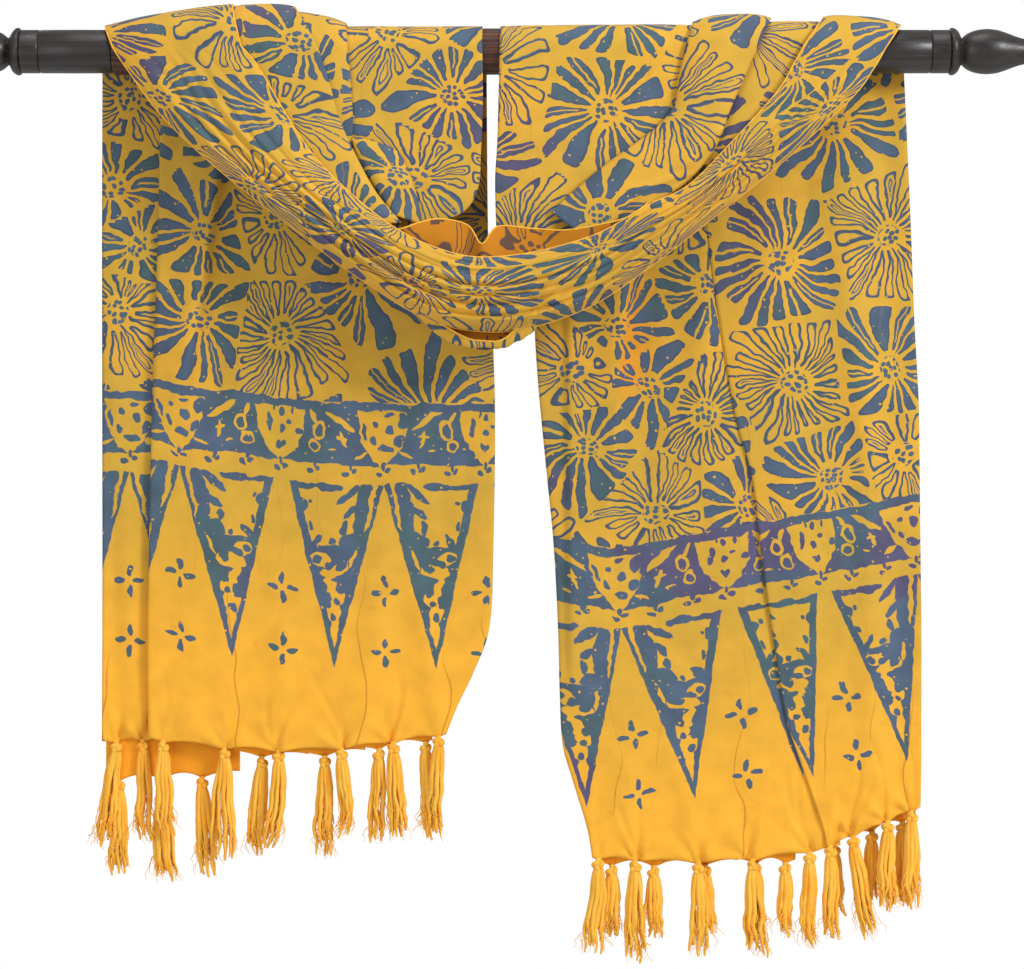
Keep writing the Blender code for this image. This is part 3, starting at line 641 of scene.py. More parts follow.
@dataclass(frozen=True)
class Weave:
    """Fine threads and small wrinkles, as a height in metres."""

    threads: float = 0.00003
    wrinkles: float = 0.00050

    def build(self) -> NodeTree:
        """Returns the node group."""
        g, given, out = shader_group("Weave and wrinkles", {"Cloth": "vector"}, {"Height": "number"})
        cloth = given["Cloth"]
        warp = g.noise(g.vector("MULTIPLY", cloth, (1800, 160, 1)), 1, 0)
        weft = g.noise(g.vector("MULTIPLY", cloth, (160, 1800, 1)), 1, 0)
        soft = g.noise(g.vector("MULTIPLY", cloth, (46, 17, 1)), 1, 3)
        fine = g.product(g.math("ADD", warp, weft), self.threads)
        g.feed(out["Height"], g.fused(soft, self.wrinkles, fine))
        return g.tree


def plain_material(name: str, roughness: float) -> tuple[Material, Graph, Node]:
    """Makes a material with one Principled shader.

    Args:
        name: The material's name.
        roughness: The shader's roughness.

    Returns:
        The material, its graph and its shader.
    """
    made = bpy.data.materials.new(name)
    made.use_nodes = True
    shader = made.node_tree.nodes["Principled BSDF"]
    shader.inputs["Roughness"].default_value = roughness
    return made, Graph(made.node_tree), shader


def bumped(graph: Graph, shader: Node, height: Socket) -> None:
    """Feeds a shader's normal from a height in metres."""
    bump = graph.wired("ShaderNodeBump", {"Strength": 1.0, "Distance": 1.0, "Height": height})
    graph.feed(shader.inputs["Normal"], bump.outputs["Normal"])


class BatikFinish:
    """The cloth's materials: its face, and its wrong side coloured with painted shade and painted light, with
    the border and without it.
    """

    def __init__(self) -> None:
        """Builds the shared groups."""
        self.flowers = FlowerPrint().build()
        self.border = BorderPrint().build()
        self.dyes_and_shade = DyesAndPaintedShade().build()
        self.weave = Weave().build()
        self.made: dict[tuple[bool, bool], Material] = {}

    def material(self, shaded_reverse: bool, bordered: bool) -> Material:
        """Returns the material of one side of the cloth.

        Args:
            shaded_reverse: Whether it is the wrong side, whose ground is painted a deeper orange as shade and
                as light thrown between the layers, a brighter orange near the hem as painted light, and whose
                print is painted darker as shade.
            bordered: Whether the stretch carries the printed border.

        Returns:
            The material, built once.
        """
        key = (shaded_reverse, bordered)
        if key not in self.made:
            self.made[key] = self.build(shaded_reverse, bordered)
        return self.made[key]

    def build(self, shaded_reverse: bool, bordered: bool) -> Material:
        """Builds one of the four materials."""
        name = f"Batik {'shaded_reverse' if shaded_reverse else 'face'}{' with border' if bordered else ''}"
        made, g, shader = plain_material(name, 0.78)
        cloth = g.node("ShaderNodeUVMap", uv_map="Cloth").outputs[0]
        rail = g.attribute("rail")
        # The rail's third number is the share of painted fold shade.
        _, drop, fold_shade = g.split(rail)
        flowers = g.group(self.flowers, Local=g.attribute("bloom"), Style=g.attribute("style"), Cloth=cloth)
        ink, edge = flowers.outputs["Ink"], flowers.outputs["Edge"]
        if bordered:
            above = g.step(drop, 0.0005, -0.0005)
            border = g.group(self.border, Rail=rail, Cloth=cloth)
            ink = g.largest(g.product(ink, above), border.outputs["Ink"])
            edge = g.product(edge, above)
        dyes_and_shade = g.group(self.dyes_and_shade, Cloth=cloth, Drop=drop, Warm=fold_shade)
        if shaded_reverse:
            # The wrong side: its ground is blended towards a deep orange as painted shade and painted bounced
            # light, towards a brighter orange near the hem as painted light, and its print is darkened as
            # painted shade.
            near_hem = g.step(drop, 0.10, 0.25)
            orange = g.blend(near_hem, (0.72, 0.230, 0.006, 1), (1.00, 0.350, 0.008, 1))
            fade = g.fused(near_hem, -0.10, 0.75)
            shaded_ground = g.blend(fade, dyes_and_shade.outputs["GroundWithShade"], orange)
            dark = g.blend(0.70, dyes_and_shade.outputs["Print"], (0.085, 0.048, 0.034, 1))
            colour = g.blend(g.product(ink, 0.86), shaded_ground, dark)
        else:
            inked = g.blend(g.product(edge, 0.55), dyes_and_shade.outputs["Print"], (0.030, 0.050, 0.100, 1))
            colour = g.blend(g.product(ink, 0.97), dyes_and_shade.outputs["GroundWithShade"], inked)
        g.feed(shader.inputs["Base Color"], colour)
        shader.inputs["Sheen Weight"].default_value = 0.06
        shader.inputs["Specular IOR Level"].default_value = 0.25
        height = g.group(self.weave, Cloth=cloth).outputs["Height"]
        # The crease lines also bump the surface; their painted shade is in the ground colour.
        bumped(g, shader, g.fused(dyes_and_shade.outputs["CreaseAndShade"], -0.0003, height))
        return made


@dataclass(frozen=True)
class ThreadFinish:
    """The fringe's twisted rayon threads."""

    light: tuple = (1.000, 0.570, 0.070, 1)
    deep: tuple = (1.000, 0.420, 0.026, 1)

    def build(self) -> Material:
        """Returns the material."""
        made, g, shader = plain_material("Fringe threads", 0.7)
        place = g.node("ShaderNodeTexCoord").outputs["Object"]
        drift = g.step(g.noise(g.vector("MULTIPLY", place, (1, 1, 0.12)), 300, 2), 0.35, 0.75)
        g.feed(shader.inputs["Base Color"], g.blend(drift, self.light, self.deep))
        shader.inputs["Sheen Weight"].default_value = 0.1
        shader.inputs["Specular IOR Level"].default_value = 0.2
        fibres = g.noise(g.vector("MULTIPLY", place, (1500, 1500, 190)), 1, 2)
        bumped(g, shader, g.product(fibres, 0.0005))
        return made


@dataclass(frozen=True)
class WoodFinish:
    """Polished wood with its grain along the rod."""

    name: str
    light: tuple
    dark: tuple
    roughness: float
    coat: float

    def build(self) -> Material:
        """Returns the material."""
        made, g, shader = plain_material(self.name, self.roughness)
        place = g.node("ShaderNodeTexCoord").outputs["Object"]
        grain = g.noise(g.vector("MULTIPLY", place, (9, 240, 240)), 1, 4)
        pores = g.step(g.noise(g.vector("MULTIPLY", place, (60, 1300, 1300)), 1, 2), 0.60, 0.72)
        wear = g.step(g.noise(place, 38, 4), 0.55, 0.75)
        colour = g.blend(g.step(grain, 0.35, 0.65), self.dark, self.light)
        g.feed(shader.inputs["Base Color"], g.blend(g.product(pores, 0.5), colour, self.dark))
        rough = g.fused(grain, 0.16, self.roughness - 0.08)
        g.feed(shader.inputs["Roughness"], g.fused(wear, 0.10, rough))
        shader.inputs["Coat Weight"].default_value = self.coat
        shader.inputs["Coat Roughness"].default_value = 0.25
        bumped(g, shader, g.product(g.minus(grain, pores), 0.00012))
        return made


# Shapes


class SoftNoise:
    """Smooth seeded noise over a plane, from -1 to 1."""

    SIZE = 64

    def __init__(self, seed: int) -> None:
        """Draws the lattice.

        Args:
            seed: Fixes the lattice's random values.
        """
        self.lattice = np.random.default_rng(seed).uniform(-1, 1, (self.SIZE, self.SIZE))

    def at(self, u: Array, v: Array) -> Array:
        """Returns the noise at points, a unit apart from one lattice value to the next."""
        i, j = np.floor(u).astype(int), np.floor(v).astype(int)
        s, t = u - i, v - j
        s, t = s * s * (3 - 2 * s), t * t * (3 - 2 * t)
        size = self.SIZE
        corner = [[self.lattice[(i + a) % size, (j + b) % size] for b in (0, 1)] for a in (0, 1)]
        low = corner[0][0] * (1 - t) + corner[0][1] * t
        high = corner[1][0] * (1 - t) + corner[1][1] * t
        return low * (1 - s) + high * s


def widths(rows: Array) -> Array:
    """How far each section's edges are apart."""
    return np.linalg.norm(rows[:, 3:6] - rows[:, 0:3], axis=1)


def curve_rows(rows: Sequence[Sequence[float]], places: Array) -> Array:
    """Rows between a table's rows, on a Catmull-Rom curve in every column.

    Args:
        rows: The table.
        places: Places along it, counted in rows.

    Returns:
        An array with a row for each place.
    """
    table = np.array(rows, float)
    last = len(table) - 1
    i = np.clip(places.astype(int), 0, last - 1)
    t = (places - i)[:, None]
    before, here, after, beyond = (table[np.clip(i + k, 0, last)] for k in (-1, 0, 1, 2))
    linear = (after - before) * t
    square = (2 * before - 5 * here + 4 * after - beyond) * t * t
    cube = (3 * here - before - 3 * after + beyond) * t**3
    return (2 * here + linear + square + cube) / 2


def run_lengths(rows: Array, columns: Sequence[slice]) -> Array:
    """Cumulative length along rows, by the mean of several of their points."""
    steps = [np.linalg.norm(np.diff(rows[:, part], axis=0), axis=1) for part in columns]
    return np.concatenate([[0.0], np.cumsum(np.mean(steps, axis=0))])


EDGES = (slice(0, 3), slice(3, 6))


def even_rows(
    rows: Sequence[Sequence[float]], spacing: float, columns: Sequence[slice] = EDGES
) -> tuple[Array, Array]:
    """Rows at even spacing along a smooth table.

    Args:
        rows: The table.
        spacing: How far apart the rows are wanted.
        columns: The columns of the points that the length is measured by.

    Returns:
        The rows, and their places along the table.
    """
    fine = np.linspace(0, len(rows) - 1, 12 * len(rows))
    run = run_lengths(curve_rows(rows, fine), columns)
    count = max(2, int(run[-1] / spacing) + 1)
    places = np.interp(np.linspace(0, run[-1], count), run, fine)
    return curve_rows(rows, places), places


def sunk(ridges: Sequence[Ridge], x: Array, z: Array) -> Array:
    """The height that ridges and valleys give.

    Args:
        ridges: The ridges and valleys.
        x: The points' places across.
        z: Their heights.

    Returns:
        How far each point stands out.
    """
    total = np.zeros_like(x)
    for ridge in ridges:
        share = (ridge.top_z - z) / (ridge.top_z - ridge.foot_z)
        fade = np.clip(np.minimum((share + 0.25) / 0.25, (1.25 - share) / 0.25), 0, 1)
        middle = ridge.top_x + (ridge.foot_x - ridge.top_x) * share
        width = np.where(x > middle, ridge.right or ridge.width, ridge.width)
        total += ridge.height * fade * np.exp(-(((x - middle) / width) ** 2))
    return total


def outward(rows: Array, facing: Facing) -> Array:
    """The way out of each section.

    Args:
        rows: The sections.
        facing: The way that they bulge.

    Returns:
        A unit vector for each.
    """
    middle = (rows[:, 0:3] + rows[:, 3:6]) / 2
    if facing is Facing.VIEWER:
        return np.tile((0.0, -1.0, 0.0), (len(rows), 1))
    if facing is Facing.DOWNWARD:
        return np.tile((0.0, 0.0, -1.0), (len(rows), 1))
    way = np.stack([np.zeros(len(rows)), middle[:, 1], np.maximum(middle[:, 2], 0)], axis=1)
    return way / np.linalg.norm(way, axis=1)[:, None]


def loft(rows: Array, across: int, facing: Facing) -> tuple[Array, Array]:
    """The points of a lofted stretch.

    Args:
        rows: Its sections.
        across: How many points each has.
        facing: The way it bulges.

    Returns:
        The points, and the way out of each section.
    """
    t = np.linspace(0, 1, across)[None, :, None]
    a, b = rows[:, None, 0:3], rows[:, None, 3:6]
    out = outward(rows, facing)
    lift = rows[:, 6, None] * (1 - np.abs(2 * t[:, :, 0] - 1) ** 3)
    return a + (b - a) * t + out[:, None, :] * lift[:, :, None], out


def ring_faces(rings: int, sides: int, closed: bool = False) -> list:
    """The faces of a round body whose points lie in rings.

    Args:
        rings: How many rings it has.
        sides: How many points each has.
        closed: Whether the last ring joins the first. An open body is capped at both ends.

    Returns:
        Its faces.
    """
    faces = []
    for i in range(rings if closed else rings - 1):
        j = (i + 1) % rings
        for k in range(sides):
            m = (k + 1) % sides
            faces.append((i * sides + k, i * sides + m, j * sides + m, j * sides + k))
    if not closed:
        faces.append(tuple(range(sides))[::-1])
        faces.append(tuple((rings - 1) * sides + k for k in range(sides)))
    return faces


def tube(path: Array, radius: float, sides: int = 6, closed: bool = False) -> tuple[Array, list]:
    """A round cord along a path.

    Args:
        path: The points of its middle line.
        radius: Its radius.
        sides: Its number of sides.
        closed: Whether it joins its own start.

    Returns:
        Its points and its faces.
    """
    ahead = np.roll(path, -1, axis=0) - np.roll(path, 1, axis=0)
    if not closed:
        ahead[0], ahead[-1] = path[1] - path[0], path[-1] - path[-2]
    ahead /= np.linalg.norm(ahead, axis=1)[:, None]
    side = np.cross(ahead, (0.31, 0.89, 0.33))
    side /= np.linalg.norm(side, axis=1)[:, None]
    up = np.cross(side, ahead)
    angles = np.linspace(0, 2 * np.pi, sides, endpoint=False)
    rings = path[:, None] + radius * (
        np.cos(angles)[None, :, None] * side[:, None] + np.sin(angles)[None, :, None] * up[:, None]
    )
    return rings.reshape(-1, 3), ring_faces(len(path), sides, closed)


def linked(name: str, data: ID) -> Object:
    """Makes an object of some data and links it to the scene."""
    made = bpy.data.objects.new(name, data)
    bpy.context.scene.collection.objects.link(made)
    return made


def new_piece(name: str, points: Array, faces: list, materials: Sequence[Material]) -> Object:
    """Makes an object of a mesh and links it.

    Args:
        name: The piece's name.
        points: Its points.
        faces: Its faces.
        materials: Its materials.

    Returns:
        The object.
    """
    mesh = bpy.data.meshes.new(name)
    mesh.from_pydata(points.reshape(-1, 3).tolist(), [], faces)
    mesh.shade_smooth()
    for finish in materials:
        mesh.materials.append(finish)
    return linked(name, mesh)


def joined(parts: Sequence[tuple[Array, list]]) -> tuple[Array, list]:
    """Joins several meshes into one.

    Args:
        parts: The points and faces of each.

    Returns:
        Their points and their faces.
    """
    points, faces, start = [], [], 0
    for part_points, part_faces in parts:
        points.append(part_points)
        faces += [tuple(i + start for i in face) for face in part_faces]
        start += len(part_points)
    return np.concatenate(points), faces


# Print plane

FLOWER_PITCHES = (0.088, 0.078, 0.068)  # how far apart the flowers that fill the cloth are tried
BORDER_PITCH = BorderPrint.pitch
BORDER_TIP = BorderPrint.teeth_top + BorderPrint.teeth_drop
BORDER_RISE = 0.272  # from a hem up to the border's top
NO_BORDER = -1.0


@dataclass
class PrintPlane:
    """Where a stretch's points lie on its own flat print, and what is printed there."""

    flat: Array
    blooms: Sequence[Bloom]
    seed: int

    def centres(self, points: Array) -> tuple[Array, Array]:
        """Places every flower: the charted ones first, and then others that fill the rest.

        Args:
            points: The stretch's points, in the same order as the print's.

        Returns:
            The flowers' places on the print, and their kind, number of petals and seed.
        """
        draw = np.random.default_rng(self.seed)
        flat = self.flat.reshape(-1, 2)
        seen = points.reshape(-1, 3)
        front = seen[:, 1] < np.median(seen[:, 1]) + 0.5
        if (seen[:, 1] < 0).any() and (seen[:, 1] > 0.01).any() and np.ptp(seen[:, 1]) > 0.02:
            front = seen[:, 1] < 0.004
        places, styles = [], []
        for bloom in self.blooms:
            gap = np.hypot(seen[:, 0] - bloom.x, seen[:, 2] - bloom.z) + np.where(front, 0, 9)
            nearest = int(gap.argmin())
            away = np.array((bloom.x, bloom.z)) - seen[nearest, [0, 2]]
            places.append(flat[nearest] + (away if gap[nearest] > 0.004 else 0))
            styles.append((bloom.petals.value, bloom.count, draw.uniform(0, 6)))
        low, high = flat.min(axis=0) - 0.03, flat.max(axis=0) + 0.03
        for pitch in FLOWER_PITCHES:
            for spot in draw.uniform(low, high, (900, 2)):
                if np.hypot(*(np.array(places) - spot).T).min() > pitch:
                    places.append(spot)
                    kind, count = float(draw.random() > 0.6), float(draw.integers(15, 22))
                    styles.append((kind, count, draw.uniform(0, 6)))
        return np.array(places), np.array(styles, float)

    def write(self, mesh: Mesh, points: Array, rail: Array) -> None:
        """Writes the print's map and attributes on a mesh of a grid.

        Args:
            mesh: The stretch's mesh.
            points: Its points.
            rail: The place along the border, the drop below its top and the share of painted fold shade, for
                each point.
        """
        flat = self.flat.reshape(-1, 2)
        places, styles = self.centres(points)
        spans = np.linalg.norm(flat[:, None, :] - places[None, :, :], axis=2)
        order = np.argsort(spans, axis=1)[:, :2]
        rows = np.arange(len(flat))
        first, second = spans[rows, order[:, 0]], spans[rows, order[:, 1]]
        corner = np.empty(len(mesh.loops), int)
        mesh.loops.foreach_get("vertex_index", corner)
        owner = np.repeat(order[corner.reshape(-1, 4)[:, 0], 0], 4)
        own = spans[corner, owner]
        other = np.where(order[corner, 0] == owner, second[corner], first[corner])
        local = np.column_stack([flat[corner] - places[owner], (other - own) / 2])
        write_vectors(mesh, "bloom", "CORNER", local)
        write_vectors(mesh, "style", "CORNER", styles[owner])
        write_vectors(mesh, "rail", "POINT", rail.reshape(-1, 3))
        layer = mesh.uv_layers.new(name="Cloth")
        layer.data.foreach_set("uv", flat[corner].astype(np.float32).ravel())


def write_vectors(mesh: Mesh, name: str, domain: str, values: Array) -> None:
    """Writes a vector attribute on a mesh."""
    made = mesh.attributes.new(name, "FLOAT_VECTOR", domain)
    made.data.foreach_set("vector", values.astype(np.float32).ravel())


# Cloth

SHELL = 0.0006
FRONT_SPACING = 0.0024
BACK_SPACING = 0.0036
SELVEDGE = 0.0007
FOLD_RADIUS = 0.0020
POLE_HALF = 0.2900
ON_ROD = ("rod_pole_wood", "rod_ends_wood")

LEFT_STRIPS = dict(zip(("outer", "second", "third", "inner"), read_rows(Strip, """
-296 20 -197 36.6 1 30.5 32.8 -300 -574 -195 -570,
-205 32.2 -148 34.5 3.5 30.2 30.2 -200 -554 -140 -555.5,
-158 30.5 -108 21.4 3 27.6 27.6 -150 -555 -95 -552,
-120 19.3 -2 19.3 0 25 25 -105 -551 -42 -542
""")))
RIGHT_STRIPS = dict(zip(("outer", "second", "wide", "inner"), read_rows(Strip, """
264 26.5 324 20.5 3 29.9 30.2 235 -637 340 -603,
216 22.2 274 22.2 1 27.6 27.6 190 -639 245 -638,
162 22.5 223 25.8 4.5 29.8 30.1 130 -641 200 -640,
12 19.3 172 20 1 27.4 27.4 92 -640 140 -641
""")))

SWAG_ROWS = read_rows(Row, """
-288 -19.5 0 -188 -31 0 4,
-276.5 -20 -17 -174 -31.5 -17 6,
-250.5 -23 -52 -152 -34 -54.6 8,
-211 -29 -90 -130 -38 -87 10,
-163 -35 -129 -97 -43 -120 12,
-97 -42 -179 -62 -50 -146 14,
-42 -46 -212 -25 -54 -161.5 16,
4 -48 -221 4 -56 -165 16,
43 -47 -215.5 43 -55 -160 16,
87 -45 -198 87 -53 -146.6 14,
133 -41 -166 124 -48 -125 12,
179 -36 -130 156 -43 -109 10,
225 -31 -93 190 -39 -75 9,
282 -25 -40.5 225 -34 -36 7,
300 -22 -17 239 -31 -12.5 6,
310 -20.5 0 246 -30 0 5
""")


class Gather(NamedTuple):
    """A gather along the swag: its place from low edge (0) to rim (1), its width, height and drift."""

    place: float
    width: float
    height: float
    drift: float = 0.0


SWAG_GATHERS = read_rows(Gather, """
120 70 2.2,
360 60 -1.6,
550 80 1.6,
800 60 -1.2
""")
# Fine gathers, which drift across the swag as they run and are strongest in its middle.
FINE_GATHERS = read_rows(Gather, """
60 22 -2.1 40,
140 24 1.9 50,
210 19 -2.8 60,
280 22 1.8 20,
350 18 -3 30,
420 20 1.8 -10,
480 17 -2.8 -20,
540 19 2 -30,
600 18 -2.8 -40,
670 22 1.8 -40,
740 19 -2.2 -50,
840 22 1.8 -50,
910 18 -2 -30
""")
SWAG_CURL = 0.0060
SWAG_FLAT = 0.150  # the swag's width on its print, where it is gathered
PINCH = (8.0, 0.26)  # the place along and across the swag where its gathers meet
PINCH_RAYS = 0.0020
PINCH_DIMPLE = 0.0026

SWAG_BLOOMS = read_blooms("""
    -249 -38 filled 16, -191 17 outlined 18, -156 -55 filled 17, -175 -110 outlined 20,
    -107 -144 filled 17, -53 -185 outlined 16, -3 -191 filled 20, 89 -159 filled 16, 138 -167 outlined 15,
    188 -94 outlined 20, 238 -22 filled 18
""")


def over_rod(crest: Array, side: Array, steps: int = 16) -> Array:
    """Rows on a quarter ellipse over the rod.

    Args:
        crest: The row on the crest.
        side: The row at the level of the rod's axis.
        steps: How many rows are made.

    Returns:
        The rows.
    """
    angle = np.linspace(0, np.pi / 2, steps)[:, None]
    up, along = np.cos(angle), np.sin(angle)
    rows = crest + (side - crest) * (1 - up)
    rows[:, [1, 4]] = side[[1, 4]] * along
    rows[:, [2, 5]] = crest[[2, 5]] * up + side[[2, 5]] * (1 - up)
    rows[:, 6] = (crest[6] + (side[6] - crest[6]) * along)[:, 0]
    return rows


def crest_row(strip: Strip) -> Array:
    """The row of a strip on the crest."""
    return np.array((strip.ax, 0, strip.az, strip.bx, 0, strip.bz, strip.dome))


def turned_over(rows: Array) -> Array:
    """Rows with their edges exchanged."""
    return rows[..., [3, 4, 5, 0, 1, 2, 6]]


def back_rows(strip: Strip) -> Array:
    """Rows from the crest, over the back of the rod and down to the hem."""
    side = np.array((strip.ax, strip.ay, 0, strip.bx, strip.by, 0, strip.dome * 0.4))
    hem = np.array((strip.hem_ax, strip.ay, strip.hem_az, strip.hem_bx, strip.by, strip.hem_bz, 0.0008))
    count = int(-strip.hem_az / BACK_SPACING)
    shares = np.linspace(0, 1, count)[1:, None]
    return np.concatenate([over_rod(crest_row(strip), side), side + (hem - side) * shares])


@dataclass
class Stretch:
    """A stretch of cloth as a grid of points, with its flat print plane and its border."""

    name: str
    points: Array
    flat: Array
    rail: Array
    blooms: Sequence[Bloom]
    replaces: tuple[str, ...]
    held: Held
    rests_on: tuple[str, ...]
    seed: int
    bordered: bool = True
    reverse_out: bool = False
    flip: bool = False

    def make(self, finish: BatikFinish) -> Object:
        """Builds the shell, prints it and gives it its wall.

        Args:
            finish: The cloth's materials.

        Returns:
            The object.
        """
        count_along, count_across = self.points.shape[:2]
        index = np.arange(count_along * count_across).reshape(count_along, count_across)
        corners = (index[:-1, :-1], index[1:, :-1], index[1:, 1:], index[:-1, 1:])
        faces = np.stack(corners if not self.flip else corners[::-1], axis=2).reshape(-1, 4)
        sides = [finish.material(side, self.bordered) for side in (self.reverse_out, not self.reverse_out)]
        made = new_piece(self.name, self.points, faces.tolist(), sides)
        PrintPlane(self.flat, self.blooms, self.seed).write(made.data, self.points, self.rail)
        wall = made.modifiers.new("Wall", "SOLIDIFY")
        wall.thickness = SHELL
        wall.offset = 0.0
        wall.material_offset = 1
        return made


def drawn_up(x: Array, to_hem: Array, tassels: Sequence[Tassel], height: float) -> Array:
    """How far a hem is drawn up between its tassels.

    Args:
        x: The points' places across.
        to_hem: Their distances to the hem.
        tassels: The tassels.
        height: How far the hem rises midway between two.

    Returns:
        How far each point rises.
    """
    knots = np.array([tassel.x for tassel in tassels])
    stops = np.concatenate([[knots[0] - 0.04], knots, [knots[-1] + 0.04]])
    place = np.interp(x, stops, np.arange(len(stops)))
    return height * np.sin(np.pi * (place % 1)) ** 0.8 * np.exp(-to_hem / 0.022)


def back_hem(points: Array, to_hem: Array) -> Array:
    """Draws a hidden hem up between the back tassels, and waves the cloth above it.

    Args:
        points: The stretch's points.
        to_hem: Their distances to the hem.

    Returns:
        The moved points.
    """
    x, z = points[..., 0], points[..., 2]
    behind = points[..., 1] > 0.015
    tassels = LEFT_BACK_TASSELS if x.mean() < 0 else RIGHT_BACK_TASSELS
    lift = drawn_up(x, to_hem, tassels, 0.0052) * behind
    wave = 0.0010 * SoftNoise(77).at(x * 34, z * 5) * behind * np.clip(-z / 0.1, 0, 1)
    return points + np.stack([np.zeros_like(x), wave, lift], axis=-1)


def no_rail(shape: tuple[int, int]) -> Array:
    """A border attribute for a stretch without a border."""
    rail = np.zeros(shape + (3,))
    rail[..., 1] = NO_BORDER
    return rail


def rail_from_hem(x: Array, to_hem: Array) -> Array:
    """A border attribute for a stretch whose border lies a fixed rise above its hem."""
    return np.stack([x, BORDER_RISE - to_hem, np.zeros_like(x)], axis=-1)


@dataclass
class Swag:
    """The outer stretch: up the back, over the rod, down in front as a swag, and over the rod again."""

    across: int = 60

    def rows(self) -> tuple[Array, Array, Array]:
        """Returns the sections, their places along the swag's table, and their distance to the nearer hem."""
        left, right = LEFT_STRIPS["outer"], RIGHT_STRIPS["outer"]
        front, places = even_rows(SWAG_ROWS, FRONT_SPACING)
        up_left = back_rows(left)[::-1]
        start = over_rod(crest_row(left), front[0])[1:-1]
        end = over_rod(turned_over(crest_row(right)), front[-1])[::-1][1:-1]
        down_right = turned_over(back_rows(right))
        rows = np.concatenate([up_left, start, front, end, down_right])
        run = run_lengths(rows, EDGES)
        at = np.concatenate(
            [
                np.full(len(up_left) + len(start), -1.0),
                places,
                np.full(len(end) + len(down_right), len(SWAG_ROWS) * 1.0),
            ]
        )
        return rows, at, run

    def build(self) -> Stretch:
        """Builds the stretch and its gathers.

        Returns:
            The stretch.
        """
        rows, at, run = self.rows()
        points, out = loft(rows, self.across, Facing.OUTWARD)
        last = len(SWAG_ROWS) - 1
        inside = (at >= 0) & (at <= last)
        strength = np.where(inside, np.maximum(np.sin(np.pi * np.clip(at, 0, last) / last), 0), 0)
        t = np.linspace(0, 1, self.across)[None, :]
        full = (strength**1.5)[:, None]
        lift = np.zeros(points.shape[:2])
        for gather in SWAG_GATHERS:
            lift += gather.height * np.exp(-(((t - gather.place) / gather.width) ** 2)) * full
        soft = SoftNoise(5)
        for number, gather in enumerate(FINE_GATHERS):
            sway = 0.02 * soft.at(at * 0.45, np.full(len(at), number * 3.7)) + gather.drift * (1 - strength)
            power = strength * (1.05 + 0.60 * soft.at(at * 0.8, np.full(len(at), number * 5.1 + 9)))
            line = np.exp(-(((t - (gather.place + sway[:, None])) / gather.width) ** 2))
            lift += gather.height * line * power[:, None]
        lift += self.pinch(at, t)
        lift -= SWAG_CURL * full * np.clip(1 - t / 0.13, 0, 1) ** 2
        wide = run[:, None] * np.ones_like(t)
        lift += 0.0007 * soft.at(wide * 22, t * 3 + 7) * np.minimum(1, 12 * t * (1 - t))
        points = points + out[:, None, :] * lift[:, :, None]
        zero = run[np.argmax(inside)]
        width = widths(rows)
        flat_width = width + (SWAG_FLAT - width) * full[:, 0]
        flat = np.stack([wide - zero, (t - 0.5) * flat_width[:, None]], axis=-1)
        to_hem = np.minimum(run, run[-1] - run)[:, None] * np.ones_like(t)
        rail = np.stack([flat[..., 1], BORDER_RISE - to_hem, np.zeros_like(to_hem)], axis=-1)
        half = len(points) // 2
        halves = (slice(None, half), slice(half, None))
        points = np.concatenate([back_hem(points[part], to_hem[part]) for part in halves])
        return Stretch(
            "swag_and_outer_backs",
            points,
            flat,
            rail,
            SWAG_BLOOMS,
            ("swag", "left_back_outer", "right_back_outer"),
            Held.DRAPED,
            ON_ROD,
            seed=3,
        )

    @staticmethod
    def pinch(at: Array, t: Array) -> Array:
        """Short wrinkles that run out from the pinch in the swag's low right side."""
        along, across = (at[:, None] - PINCH[0]) * 0.040, (t - PINCH[1]) * 0.075
        radius = np.hypot(along, across)
        turn = np.arctan2(across, along)
        rays = np.cos(turn * 9 + 1.3) * np.exp(-radius / 0.018) * np.clip(radius / 0.004, 0, 1)
        return PINCH_RAYS * rays - PINCH_DIMPLE * np.exp(-((radius / 0.006) ** 2))


@dataclass
class Pleat:
    """A stretch from its hem up the back, over the rod and down the front into the swag."""

    name: str
    strip: Strip
    front: Sequence[Row]
    blooms: Sequence[Bloom]
    seed: int
    ridges: Sequence[Ridge] = ()
    wrinkle: float = 0.0003

    def build(self) -> Stretch:
        """Builds the stretch.

        Returns:
            The stretch, lofted and wrinkled.
        """
        front, _ = even_rows(self.front, FRONT_SPACING)
        back = back_rows(self.strip)[::-1]
        down = over_rod(crest_row(self.strip), front[0])[1:-1]
        rows = np.concatenate([back, down, front])
        widest = widths(rows).max()
        across = max(12, int(widest / 0.0028))
        points, out = loft(rows, across, Facing.OUTWARD)
        run = run_lengths(rows, EDGES)
        start = len(back) + len(down)
        q = run[start] - run
        height = np.repeat(q[:, None], across, axis=1)
        height[start:] = points[start:, :, 2]
        flat = np.stack([points[..., 0], height], axis=-1)
        soft = SoftNoise(self.seed + 40)
        window = np.clip(6 * np.linspace(0, 1, across) * np.linspace(1, 0, across), 0, 1)[None, :]
        lift = self.wrinkle * soft.at(flat[..., 0] * 55, flat[..., 1] * 16) * window
        front_only = (np.arange(len(rows)) >= len(back))[:, None]
        lift += sunk(self.ridges, flat[..., 0], flat[..., 1]) * front_only
        to_hem = np.repeat(run[:, None], across, axis=1)
        points = back_hem(points + out[:, None, :] * lift[:, :, None], to_hem)
        rail = rail_from_hem(points[..., 0], to_hem)
        return Stretch(
            self.name, points, flat, rail, self.blooms, (self.name,), Held.DRAPED, ON_ROD, seed=self.seed
        )


